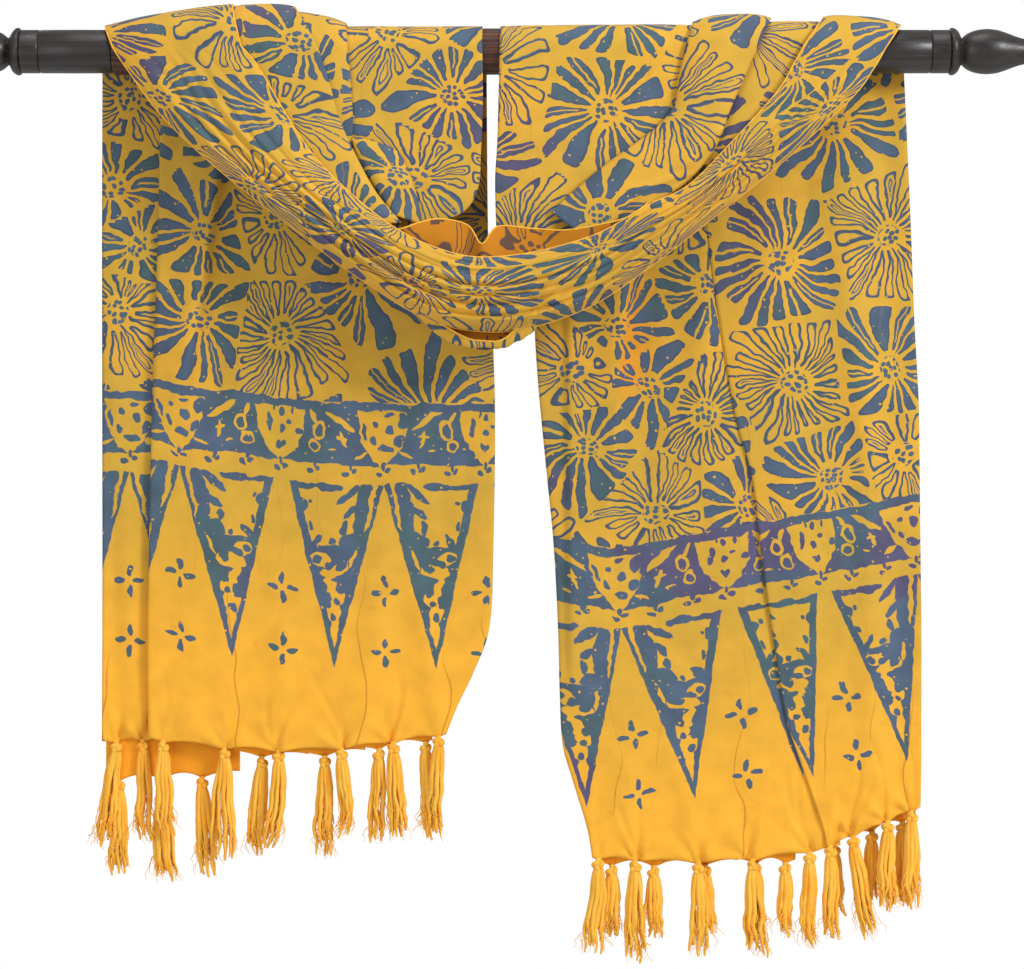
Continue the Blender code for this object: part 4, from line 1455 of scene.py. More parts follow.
@dataclass
class Loose:
    """A short stretch that shows only in front."""

    name: str
    rows: Sequence[Row]
    facing: Facing
    blooms: Sequence[Bloom]
    seed: int
    rests_on: tuple[str, ...]
    reverse_out: bool = False
    flip: bool = False
    gathers: int = 0
    gather_depth: float = 0.0

    def build(self) -> Stretch:
        """Builds the stretch.

        Returns:
            The stretch, lofted and wrinkled.
        """
        rows, places = even_rows(self.rows, 0.0020)
        widest = widths(rows).max()
        across = max(10, int(widest / 0.0020))
        points, out = loft(rows, across, self.facing)
        t = np.linspace(0, 1, across)[None, :]
        soft = SoftNoise(self.seed)
        along = (places / places[-1])[:, None]
        lift = 0.0004 * soft.at(points[..., 0] * 60, points[..., 2] * 60)
        if self.gathers:
            wave = np.cos(np.pi * self.gathers * (along + 0.02 * soft.at(along * 9, t * 2)))
            start = np.clip(8 * along, 0, 1)
            lift += self.gather_depth * wave * np.clip(3 * t * (1 - t) + 0.25, 0, 1) * start
        points = points + out[:, None, :] * lift[:, :, None]
        flat = np.stack([points[..., 0], points[..., 2] + points[..., 1]], axis=-1)
        return Stretch(
            self.name,
            points,
            flat,
            no_rail(points.shape[:2]),
            self.blooms,
            (self.name,),
            Held.DRAPED,
            self.rests_on,
            seed=self.seed,
            bordered=False,
            reverse_out=self.reverse_out,
            flip=self.flip,
        )


@dataclass
class Fall:
    """A fall behind the rod, with its visible face towards the viewer and its edges folded back."""

    name: str
    rows: Sequence[FallRow]
    depth: float
    ridges: Sequence[Ridge]
    rail: Sequence[Rail]
    tip_x: float
    pitch: float
    lean: float
    blooms: Sequence[Bloom]
    tassels: Sequence[Tassel]
    seed: int
    back_a: float = 0.0
    back_b: float = 0.0
    sag: float = 0.0
    scallop: float = 0.0036
    wave: float = 0.0026
    ripple: float = 0.0008
    fan: float = 0.0020
    crease: float = 0.0024
    # Bands of painted fold shade, given as ridges whose heights are its share.
    fold_shade: Sequence[Ridge] = ()
    hem: Array = field(default_factory=lambda: np.zeros((0, 3)))

    def columns(self, width: float) -> tuple[Array, Array, Array, Array]:
        """The columns of a section, folded back at the edges that fold.

        Args:
            width: How wide the fall is.

        Returns:
            Their share of the way from a to b, their offsets in x and y, and their run along the cloth.
        """
        share, dx, dy, run = [], [], [], []
        radius = FOLD_RADIUS
        arc = np.linspace(np.pi / 2, -np.pi / 2, 7)
        if self.back_a:
            inner = np.linspace(self.back_a, radius, max(3, int(self.back_a / 0.004)))[:-1]
            share += [0.0] * (len(inner) + 7)
            dx += list(inner) + list(radius - radius * np.cos(arc))
            dy += [2 * radius] * len(inner) + list(radius + radius * np.sin(arc))
        start = radius if self.back_a else 0.0
        end = radius if self.back_b else 0.0
        front = np.linspace(0, 1, int(width / FRONT_SPACING))
        if self.back_a:
            front = front[1:]
        if self.back_b:
            front = front[:-1]
        share += list(front)
        dx += list(start * (1 - front) - end * front)
        dy += [0.0] * len(front)
        if self.back_b:
            inner = np.linspace(radius, self.back_b, max(3, int(self.back_b / 0.004)))[1:]
            share += [1.0] * (len(inner) + 7)
            dx += list(-radius + radius * np.cos(arc[::-1])) + list(-inner)
            dy += list(radius + radius * np.sin(arc[::-1])) + [2 * radius] * len(inner)
        share, dx, dy = (np.array(part) for part in (share, dx, dy))
        step = np.hypot(np.diff(share * width + dx), np.diff(dy))
        run = np.concatenate([[0.0], np.cumsum(step)])
        return share, dx, dy, run

    def build(self) -> Stretch:
        """Builds the stretch and keeps its hem line.

        Returns:
            The stretch.
        """
        rows, _ = even_rows(self.rows, FRONT_SPACING, (slice(0, 2), slice(2, 4)))
        width = float((rows[:, 2] - rows[:, 0]).mean())
        share, dx, dy, run = self.columns(width)
        x = rows[:, 0, None] + (rows[:, 2] - rows[:, 0])[:, None] * share + dx
        inner = np.clip((x - rows[:, 0, None]) / (rows[:, 2] - rows[:, 0])[:, None], 0, 1)
        z = rows[:, 1, None] + (rows[:, 3] - rows[:, 1])[:, None] * inner
        down = np.linspace(0, 1, len(rows))[:, None]
        z = z - self.sag * down**3 * np.sin(np.pi * inner)
        front = (dy == 0)[None, :]
        to_hem = z - z[-1:]
        printed = np.stack([x, z], axis=-1)
        z = z + drawn_up(x, to_hem, self.tassels, self.scallop)
        lift = sunk(self.ridges, x, z) + self.wrinkles(x, z, to_hem, inner)
        y = self.depth + dy - np.where(front, lift, 0)
        points = np.stack([x, y, z], axis=-1)
        flat = printed.copy()
        behind_a, behind_b = share == 0.0, share == 1.0
        start = np.argmax(~behind_a)
        stop = len(share) - np.argmax(~behind_b[::-1]) - 1
        if self.back_a:
            flat[:, :start, 0] = printed[:, start : start + 1, 0] - (run[start] - run[:start])
        if self.back_b:
            flat[:, stop + 1 :, 0] = printed[:, stop : stop + 1, 0] + (run[stop + 1 :] - run[stop])
        top = np.interp(x, [r.x for r in self.rail], [r.z for r in self.rail])
        drop = top - printed[..., 1]
        along = (flat[..., 0] - self.tip_x + self.lean * (BORDER_TIP - drop)) * BORDER_PITCH / self.pitch
        # The rail's third number is the share of painted fold shade.
        rail = np.stack([along, drop, sunk(self.fold_shade, x, z)], axis=-1)
        shown = slice(start, stop + 1) if self.back_a or self.back_b else slice(None)
        self.hem = points[-1, shown]
        return Stretch(
            self.name,
            points,
            flat,
            rail,
            self.blooms,
            (self.name,),
            Held.HUNG,
            ("swag_and_outer_backs",),
            seed=self.seed,
        )

    def wrinkles(self, x: Array, z: Array, to_hem: Array, inner: Array) -> Array:
        """Soft waves down the fall, and creases that fan up from each knot.

        Args:
            x: The points' places across.
            z: Their heights.
            to_hem: Their heights above the hem; not used.
            inner: Their share of the way across.

        Returns:
            How far each point stands out.
        """
        soft = SoftNoise(self.seed + 20)
        window = np.clip(8 * inner * (1 - inner), 0, 1)
        lift = self.wave * soft.at(x * 17, z * 4) + self.ripple * soft.at(x * 60 + 9, z * 17)
        draw = np.random.default_rng(self.seed)
        for tassel in self.tassels:
            foot = np.interp(tassel.x, x[-1], z[-1])
            across, up = x - tassel.x, z - foot
            radius, turn = np.hypot(across, up), np.arctan2(across, np.abs(up) + 1e-6)
            phase = draw.uniform(0, 6)
            fan = np.cos(turn * 7 + phase) * np.exp(-radius / 0.024) * np.clip(radius / 0.006, 0, 1)
            lift = lift + self.fan * fan
            for _ in range(2):
                lean, length = draw.uniform(-0.35, 0.35), draw.uniform(0.025, 0.075)
                height = np.clip(up / length, 0, 1)
                middle = tassel.x + lean * up + 0.004 * np.sin(up * 60 + phase)
                crease = np.exp(-(((x - middle) / 0.0022) ** 2)) * (1 - height) ** 0.6
                lift = lift - self.crease * crease * (up > -0.002)
        return lift * window


# Tables of the pleats and falls

LEFT_SECOND = read_rows(Row, """
-196 -27 0 -129 -28 0 2,
-185 -27.2 -20 -120.5 -28.4 -25 2.8,
-162 -29.4 -54 -112 -30 -56 2.8,
-139 -33.4 -86 -99 -33 -85 2.8,
-108 -38.5 -118 -83 -36.5 -114 3,
-86 -43 -140 -64 -39.5 -137 1.5
""")
LEFT_THIRD = read_rows(Row, """
-150 -25.5 0 -106 -21.8 0 2.2,
-142 -25.8 -20 -104 -22 -20 2,
-132 -26.6 -40 -103 -22.2 -38 1.4,
-120 -28 -60 -102 -23 -56 0.5,
-112 -29.5 -80 -103 -24.5 -78 0
""")
LEFT_TWIST = read_rows(Row, """
-103 -24.5 -70 -96 -23 -70 0,
-100 -26.2 -83 -70 -23.2 -79 3,
-93 -28.5 -98 -60 -24 -93 5,
-82 -31.2 -114 -53 -25.2 -113 5,
-73 -34 -130 -48 -26.8 -138 3
""")
LEFT_INNER = read_rows(Row, """
-115 -19.4 0 -2 -19.4 0 0,
-110 -19.6 -40 -1.5 -19.4 -40 0.5,
-105 -20.5 -80 -3 -19.7 -80 1.2,
-100 -22 -112 -5 -20.5 -108 1.5,
-95 -23.5 -135 -16 -22 -127 1.5,
-85 -25 -156 -42 -24 -140 1,
-72 -27 -180 -48 -26.5 -170 0.5
""")
RIGHT_SECOND = read_rows(Row, """
204 -23.2 0 253 -24.8 0 0.5,
190 -24 -30 233 -28 -32 0.5,
172 -25.5 -62 205 -32 -64 0.5,
150 -27.5 -90 176 -35 -93 0.5
""")
RIGHT_WIDE = read_rows(Row, """
155 -24 0 211 -27.2 0 3.5,
149 -24.2 -26.5 198 -30 -29 4,
145 -25 -48 188 -32.5 -52 4,
125 -26.2 -68 178 -35.8 -78 3.5,
96 -27.7 -89 155 -37.8 -106 3,
72 -29 -109 118 -38.5 -129 2,
51 -30.5 -128 78 -36 -150 1
""")
RIGHT_INNER = read_rows(Row, """
11.5 -19.4 0 168 -20.4 0 0.3,
10.5 -19.4 -40 160 -20.6 -40 0.5,
9.5 -19.7 -75 135 -21.6 -75 1.5,
8 -20.5 -100 105 -23.3 -100 1.8,
8.5 -23 -130 72 -25 -130 1.5,
10 -26 -160 56 -27 -160 1
""")

PLEATS = (
    Pleat(
        "left_second_pleat", LEFT_STRIPS["second"], LEFT_SECOND,
        read_blooms("-157 -54 outlined 16, -142 4 filled 14"), seed=11,
    ),
    Pleat("left_third_pleat", LEFT_STRIPS["third"], LEFT_THIRD, read_blooms("-150 -30 filled 15"), seed=12),
    Pleat(
        "left_inner_panel", LEFT_STRIPS["inner"], LEFT_INNER,
        read_blooms("-25 -37 filled 18, -54 -101 outlined 16, -77 13 outlined 15"), seed=13,
    ),
    Pleat(
        "right_second_pleat", RIGHT_STRIPS["second"], RIGHT_SECOND,
        read_blooms("166 -81 filled 14, 200 13 outlined 12"), seed=14,
    ),
    Pleat(
        "right_wide_pleat", RIGHT_STRIPS["wide"], RIGHT_WIDE,
        read_blooms("141 -45 outlined 20, 89 -131 filled 12"), seed=15,
        ridges=read_rows(Ridge, """
            179.9 -67.4 156.9 -92.8 12 2.2 2.4, 154.6 -100.4 125.4 -111.2 12 2 2.4,
            123 -111.2 91.6 -142.6 12 2.2 2.4
        """),
    ),
    Pleat(
        "right_inner_panel", RIGHT_STRIPS["inner"], RIGHT_INNER,
        read_blooms("""
            94 -47 filled 18, 4 -19 outlined 16, 28 -151 outlined 22, 106 21 filled 15
        """),
        seed=16,
    ),
)


class Rim(NamedTuple):
    """A point of the pocket's free rim, and its place along the swag."""

    place: float
    x: float
    y: float
    z: float


POCKET_RIM = read_rows(Rim, """
4950 -73 -44 -144,
5350 -63 -42 -142,
5750 -50 -38.5 -137,
6150 -34 -36 -134,
6550 -13 -37 -139,
6850 -2 -42 -153.7,
7150 10 -37 -140,
7800 36 -37 -141.5,
8400 62 -39.5 -143,
9000 88 -42 -139,
9600 110 -43 -133,
10150 128 -42 -120
""")
POCKET_SEAT = np.array((0.0, 0.0019, 0.0008))
POCKET_BELLY = -0.0030


def swag_foot(place: float) -> Array:
    """The point of the swag's low edge at a place, where the pocket is seated."""
    row = curve_rows(SWAG_ROWS, np.array([place]))
    out = outward(row, Facing.OUTWARD)[0]
    strength = max(0.0, math.sin(math.pi * place / (len(SWAG_ROWS) - 1))) ** 1.5
    gathered = sum(g.height * math.exp(-((g.place / g.width) ** 2)) for g in SWAG_GATHERS)
    return row[0, 0:3] + out * strength * (gathered - SWAG_CURL) + POCKET_SEAT


POCKET_ROWS = [Row(*swag_foot(rim.place), rim.x, rim.y, rim.z, POCKET_BELLY) for rim in POCKET_RIM]
LOWER_FOLD_ROWS = read_rows(Row, """
-56 -40 -204 -56 -31 -200 1,
-40 -41 -212 -40 -29 -206 10,
-26 -42.5 -219 -26 -27 -211 13,
-12 -44 -226.2 -12 -26.5 -212 11,
4 -44 -228.5 4 -26 -213 10,
14 -44 -227 14 -26 -213 11,
24 -45 -219.5 24 -27 -212 12,
34 -45 -215 34 -28 -210 10,
42 -43 -210 42 -29 -207 6
""")
LOOSE = (
    Loose(
        "left_twisted_pleat", LEFT_TWIST, Facing.VIEWER, read_blooms("-65 -100 filled 14"), seed=21,
        rests_on=("left_inner_panel",),
    ),
    Loose(
        "swag_pocket", POCKET_ROWS, Facing.VIEWER, read_blooms("-20 -175 outlined 9, 35 -160 outlined 9"),
        seed=22, rests_on=("swag_and_outer_backs",), reverse_out=True, gathers=13, gather_depth=0.0006,
    ),
    Loose(
        "swag_lower_fold", LOWER_FOLD_ROWS, Facing.DOWNWARD, read_blooms("10 -270 outlined 18"), seed=23,
        rests_on=("swag_and_outer_backs",), flip=True, gathers=15, gather_depth=0.0005,
    ),
)

LEFT_FRONT = read_rows(FallRow, """
-255.5 0 0.8 0,
-256 -50 1 -50,
-258.3 -150 2.2 -150,
-262.5 -270 7.2 -270,
-265 -390 6 -390,
-266 -445 3 -450,
-266.1 -485 -9 -485,
-265.7 -518.5 -21.5 -512,
-265.4 -540 -31 -536.5
""")
LEFT_SIDE = read_rows(FallRow, """
-302.5 -4 -240 -4,
-302.8 -130 -240 -130,
-302.6 -300 -242 -300,
-302.6 -450 -242 -450,
-303 -543.5 -242 -540.5
""")
RIGHT_MIDDLE = read_rows(FallRow, """
36 0 260 0,
36.5 -100 260 -100,
38.5 -200 260 -200,
42 -260 260 -260,
48.6 -329 262 -329,
54.1 -386 268 -386,
57.5 -450 272 -450,
59 -505 275 -505,
61.2 -543 277 -543,
69 -571.5 278 -570,
80.1 -608.5 279 -600,
84.5 -634 280 -626
""")
RIGHT_FRONT = read_rows(FallRow, """
150 0 329 0,
160 -50 331.5 -50,
172.8 -134 335 -130,
185 -215 338 -210,
197.2 -286 341.2 -270,
209.5 -330 342 -320,
216.5 -386 342.5 -370,
222.4 -429 343 -410,
228.7 -471 343.5 -450,
237.3 -522.5 343.5 -500,
248.4 -557 343.5 -530,
257 -582 343.5 -553,
265.7 -608 343.2 -576,
269.6 -625.5 342.8 -594
""")

LEFT_FRONT_TASSELS = read_rows(Tassel, """
-254 72 20 50,
-206 86 0 120,
-163 75 -60 60,
-113.4 68 80 60,
-72.5 75 50 60,
-37 80 -60 50
""")
LEFT_SIDE_TASSELS = read_rows(Tassel, "-292 85 -160 40, -271 80 20 60")
LEFT_BACK_TASSELS = read_rows(Tassel, """
-290 72 0 100,
-256 80 40 80,
-224.6 76 60 100,
-177 76 -100 60,
-127 78 20 80,
-84 72 -30 80,
-47 74 60 60
""")
RIGHT_MIDDLE_TASSELS = read_rows(Tassel, """
89 72 -60 90,
118 78 30 90,
167.5 72 10 80,
210.6 74 60 140,
256 72 -20 60
""")
RIGHT_FRONT_TASSELS = read_rows(Tassel, """
272 74 0 50,
290 80 140 60,
317 68 -20 80,
336 74 0 80
""")
RIGHT_BACK_TASSELS = read_rows(Tassel, """
100 56 20 60,
133 56 0 80,
174 54 0 80,
214 54 20 80,
237 56 0 80,
276 56 20 80,
306 60 0 80,
330 62 0 60
""")

FALLS = (
    Fall(
        "left_front_fall", LEFT_FRONT, depth=0.0192,
        ridges=read_rows(Ridge, """
            -206 -70 -233 -250 22 12 2.6, -185 -70 -212 -260 16 -4, -125 -160 -115 -360 20 2.6 10,
            -45 -160 -60 -340 22 2.4, -215 -300 -210 -480 16 2, -80 -400 -100 -530 14 3,
            -160 -460 -164 -540 10 2.4, -50 -430 -38 -530 10 2.4
        """),
        rail=read_rows(Rail, """
            -265 -253.5, -259.9 -254.2, -235.5 -261.3, -210.3 -263.6, -178.8 -266.8, -142.6 -272.3,
            -99.4 -273.9, 7.6 -273.9
        """),
        tip_x=-0.1995, pitch=0.0805, lean=0.010,
        blooms=read_blooms("""
            -166 -127 outlined 16, -160 -220 outlined 22, -65 -213 filled 18, -228 -207 filled 16,
            -221 -142 filled 15, -99 -177 filled 16, -12 -234 outlined 16
        """),
        tassels=LEFT_FRONT_TASSELS, seed=31, back_a=0.026, back_b=0.070, sag=0.011,
    ),
    Fall(
        "left_side_fall", LEFT_SIDE, depth=0.0254, ridges=read_rows(Ridge, "-283 -360 -278 -530 10 2.4"),
        rail=read_rows(Rail, "-310 -262.7, -240 -266"), tip_x=-0.2405, pitch=0.081, lean=0.0,
        blooms=read_blooms("""
            -295 -102 filled 16, -289 -201 outlined 18, -282 -33 outlined 16, -273 -149 filled 15
        """),
        tassels=LEFT_SIDE_TASSELS, seed=32,
    ),
    Fall(
        "right_middle_fall", RIGHT_MIDDLE, depth=0.0218,
        ridges=read_rows(Ridge, """
            111 -180 96 -400 22 6 3, 130 -180 122 -420 14 -1.6, 66 -200 68 -460 3 4 16,
            170 -120 176 -330 18 2.6, 200 -400 215 -560 18 2.2, 150 -560 168 -630 12 2.2,
            105 -550 118 -630 12 2.2
        """),
        rail=read_rows(Rail, "40 -378, 54.1 -380.1, 102.9 -388.8, 169.1 -376.2, 260 -358"), tip_x=0.1652,
        pitch=0.0851, lean=0.107,
        blooms=read_blooms("""
            176 -180 filled 16, 104 -213 filled 15, 173 -282 outlined 22, 80 -308 filled 16,
            134 -360 outlined 16, 207 -354 filled 14, 130 -260 filled 12, 71 -248 outlined 14,
            161 -125 outlined 16
        """),
        tassels=RIGHT_MIDDLE_TASSELS, seed=33, back_a=0.050, sag=0.007,
        # A band of painted fold shade down a fold's valley.
        fold_shade=read_rows(Ridge, "115 -185 107 -256 3 600 19"),
    ),
    Fall(
        "right_front_fall", RIGHT_FRONT, depth=0.0192,
        ridges=read_rows(Ridge, """
            220 -100 245 -400 22 4.2, 280 -60 290 -260 16 3, 315 -50 320 -230 12 -2.2,
            298 -260 308 -600 12 3, 318 -300 326 -600 10 -1.6
        """),
        rail=read_rows(Rail, "210 -369, 222.5 -366.7, 341.3 -345.5"), tip_x=0.2586, pitch=0.0740,
        lean=0.200,
        blooms=read_blooms("""
            277 -54 filled 17, 317 -142 outlined 22, 233 -162 filled 20, 243 -259 outlined 24,
            319 -246 filled 18, 273 -333 filled 20, 330 -315 outlined 14
        """),
        tassels=RIGHT_FRONT_TASSELS, seed=34,
    ),
)


# Fringe


@dataclass
class Fringe:
    """Tassels along one hem: an overhand knot and a hanging bunch of crinkled threads in each."""

    name: str
    hem: Array
    tassels: Sequence[Tassel]
    seed: int
    cords: int = 9
    wisps: int = 24
    cord_radius: float = 0.0022
    wisp_radius: float = 0.00032
    knot_half: tuple[float, float, float] = (0.0056, 0.0040, 0.0050)
    cord: float = 0.0020
    neck: float = 0.0023
    drop: float = 0.0042

    def on_hem(self, x: float) -> Array:
        """The point of the hem at x."""
        order = np.argsort(self.hem[:, 0])
        line = self.hem[order]
        return np.array((x, np.interp(x, line[:, 0], line[:, 1]), np.interp(x, line[:, 0], line[:, 2])))

    def knots(self) -> tuple[Array, list]:
        """Every tassel's overhand knot and the short neck above it."""
        draw = np.random.default_rng(self.seed)
        t = np.linspace(0, 2 * np.pi, 40, endpoint=False)
        x, z = np.sin(t) + 2 * np.sin(2 * t), np.cos(t) - 2 * np.cos(2 * t)
        loop = np.stack([x, -np.sin(3 * t), z], axis=1)
        reach = np.array((3.0, 1.0, 3.0))
        parts = []
        for tassel in self.tassels:
            centre = self.on_hem(tassel.x) - (0, 0, self.drop)
            size = (np.array(self.knot_half) - self.cord) / reach * draw.uniform(0.9, 1.1, 3)
            tilt = draw.uniform(-0.5, 0.5)
            c, s = math.cos(tilt), math.sin(tilt)
            turn = np.array([[c, 0, s], [0, 1, 0], [-s, 0, c]])
            parts.append(tube(centre + (loop * size) @ turn.T, self.cord, 8, True))
            neck = centre + np.array([(0, 0, z) for z in np.linspace(0.0062, -0.0050, 5)])
            parts.append(tube(neck, self.neck, 8))
        return joined(parts)

    def lines(self) -> tuple[Array, list, dict[str, Array], Array]:
        """Draws a straight line for every cord and wisp.

        Returns:
            Their ends, their edges, each end's numbers by name, and how far each end swells outwards.
        """
        draw = np.random.default_rng(self.seed + 1)
        ends, swell, numbers = [], [], {"thread": [], "thick": [], "loose": []}
        for number, tassel in enumerate(self.tassels):
            centre = self.on_hem(tassel.x) - (0, 0, self.drop + 0.0030)
            hang = tassel.length - 0.008
            for k in range(self.cords + self.wisps):
                wisp = k >= self.cords
                angle, reach = draw.uniform(0, 2 * np.pi), math.sqrt(draw.uniform(0.1, 1))
                if not wisp:
                    angle = 2 * np.pi * k / (self.cords - 1)
                    reach = 0.0 if k == self.cords - 1 else 0.9
                side = np.array((math.cos(angle), 0.62 * math.sin(angle), 0)) * reach
                spread = tassel.spread * side
                way = np.array((tassel.lean + spread[0] * 0.80, spread[1] * 0.5, -1.0))
                start = draw.uniform(0.30, 0.70) * hang if wisp else 0.0
                length = hang * draw.uniform(0.82, 1.04) - start
                root = centre + side * (0.0036 if wisp else 0.0024) + way * start
                tip = root + way * length + draw.normal(0, 0.0040 if wisp else 0.0014, 3) * (1, 0.7, 0)
                ends += [root, tip]
                swell += [side * (0.0 if wisp else 0.0016)] * 2
                numbers["thread"] += [number * 100 + k * 1.0] * 2
                thick = self.wisp_radius if wisp else self.cord_radius * draw.uniform(0.75, 1.15)
                numbers["thick"] += [thick] * 2
                numbers["loose"] += [1.6 if wisp else 1.0] * 2
        count = len(ends) // 2
        edges = [(2 * i, 2 * i + 1) for i in range(count)]
        return np.array(ends), edges, {k: np.array(v) for k, v in numbers.items()}, np.array(swell)

    def make(self, tree: NodeTree, finish: Material) -> Object:
        """Builds the fringe as one plain mesh.

        Args:
            tree: The Geometry Nodes tree that grows threads along edges.
            finish: The threads' material.

        Returns:
            The object.
        """
        ends, edges, numbers, swell = self.lines()
        mesh = bpy.data.meshes.new(self.name + "_lines")
        mesh.from_pydata(ends.tolist(), edges, [])
        for name, values in numbers.items():
            made = mesh.attributes.new(name, "FLOAT", "POINT")
            made.data.foreach_set("value", values.astype(np.float32))
        write_vectors(mesh, "swell", "POINT", swell)
        holder = linked(self.name + "_lines", mesh)
        grown = holder.modifiers.new("Threads", "NODES")
        grown.node_group = tree
        values = {"Sides": 5, "Segments": 15, "Crinkle": 0.0018, "Seed": float(self.seed), "Finish": finish}
        for item in tree.interface.items_tree:
            if item.in_out == "INPUT" and item.name in values:
                grown[item.identifier] = values[item.name]
        holder.update_tag()
        depsgraph = bpy.context.evaluated_depsgraph_get()
        threads = bpy.data.meshes.new_from_object(holder.evaluated_get(depsgraph), depsgraph=depsgraph)
        bpy.data.objects.remove(holder)
        points, faces = self.knots()
        made = new_piece(self.name, points, faces, [finish])
        both = bmesh.new()
        both.from_mesh(made.data)
        both.from_mesh(threads)
        both.to_mesh(made.data)
        both.free()
        bpy.data.meshes.remove(threads)
        made.data.shade_smooth()
        return made


def named(graph: Graph, name: str, kind: str) -> Socket:
    """Returns a named attribute of the geometry."""
    return graph.wired("GeometryNodeInputNamedAttribute", {"Name": name}, data_type=kind).outputs["Attribute"]


THREAD_INPUTS = {
    "Geometry": "Geometry",
    "Sides": "Int",
    "Segments": "Int",
    "Crinkle": "Float",
    "Seed": "Float",
    "Finish": "Material",
}


def thread_tree() -> NodeTree:
    """Builds the Geometry Nodes tree that turns edges into crinkled threads.

    Returns:
        The tree.
    """
    tree = bpy.data.node_groups.new("Tassel threads", "GeometryNodeTree")
    for name, kind in THREAD_INPUTS.items():
        tree.interface.new_socket(name=name, in_out="INPUT", socket_type="NodeSocket" + kind)
    tree.interface.new_socket(name="Geometry", in_out="OUTPUT", socket_type="NodeSocketGeometry")
    g = Graph(tree)
    given, end = g.node("NodeGroupInput"), g.node("NodeGroupOutput")
    line = g.wired("GeometryNodeMeshToCurve", {"Mesh": given.outputs["Geometry"]}).outputs["Curve"]
    fine = g.wired("GeometryNodeResampleCurve", {"Curve": line, "Count": given.outputs["Segments"]})
    along = g.node("GeometryNodeSplineParameter").outputs["Factor"]
    number, thick, loose = (named(g, name, "FLOAT") for name in ("thread", "thick", "loose"))
    belly = g.math("SINE", g.product(g.math("POWER", along, 0.6), math.pi))
    bunch = g.math("FLOOR", g.math("DIVIDE", number, 100.0))
    seed = given.outputs["Seed"]
    bunch_row, thread_row = (g.fused(part, 3.71, seed) for part in (bunch, number))
    slack = g.product(g.math("POWER", along, 1.2), loose, given.outputs["Crinkle"])
    moved = g.scaled(named(g, "swell", "FLOAT_VECTOR"), belly)
    for pace, share, row in ((2.2, 4.0, bunch_row), (6.0, 1.5, thread_row)):
        noise = g.noise(g.combine(row, g.product(along, pace), share), 1.0, 1.0, True)
        shift = g.vector("SUBTRACT", noise, (0.5, 0.5, 0.5))
        shift = g.scaled(shift, g.product(slack, share * 2.4))
        moved = g.vector("ADD", moved, g.vector("MULTIPLY", shift, (1, 0.7, 0.3)))
    placed = g.wired("GeometryNodeSetPosition", {"Geometry": fine.outputs["Curve"], "Offset": moved})
    taper = g.minus(1.0, g.product(g.math("POWER", along, 4.0), 0.62))
    inputs = {"Curve": placed.outputs["Geometry"], "Radius": g.product(thick, taper)}
    sized = g.wired("GeometryNodeSetCurveRadius", inputs).outputs["Curve"]
    inputs = {"Resolution": given.outputs["Sides"], "Radius": 1.0}
    ring = g.wired("GeometryNodeCurvePrimitiveCircle", inputs).outputs["Curve"]
    inputs = {"Curve": sized, "Profile Curve": ring, "Fill Caps": True}
    cord = g.wired("GeometryNodeCurveToMesh", inputs)
    if "Scale" in cord.inputs:
        g.feed(cord.inputs["Scale"], g.node("GeometryNodeInputRadius").outputs["Radius"])
    real = g.wired("GeometryNodeRealizeInstances", {"Geometry": cord.outputs["Mesh"]}).outputs["Geometry"]
    inputs = {"Geometry": real, "Material": given.outputs["Finish"]}
    dressed = g.wired("GeometryNodeSetMaterial", inputs)
    g.feed(end.inputs["Geometry"], dressed.outputs["Geometry"])
    return tree


HEM_STEP = 0.0070


def hem_of_strips(strips: dict[str, Strip], names: Sequence[str]) -> Array:
    """One line along the hems of neighbouring stretches.

    Args:
        strips: The strips of one arm, by name.
        names: The names from left to right.

    Returns:
        The line's points.
    """
    line: list = []
    for name in names:
        strip = strips[name]
        a = np.array((strip.hem_ax, strip.ay, strip.hem_az))
        b = np.array((strip.hem_bx, strip.by, strip.hem_bz))
        start = line[-1][0] + HEM_STEP if line else a[0]
        line += [a + (b - a) * (start - a[0]) / (b[0] - a[0]), b]
    return np.array(line)


# Rod


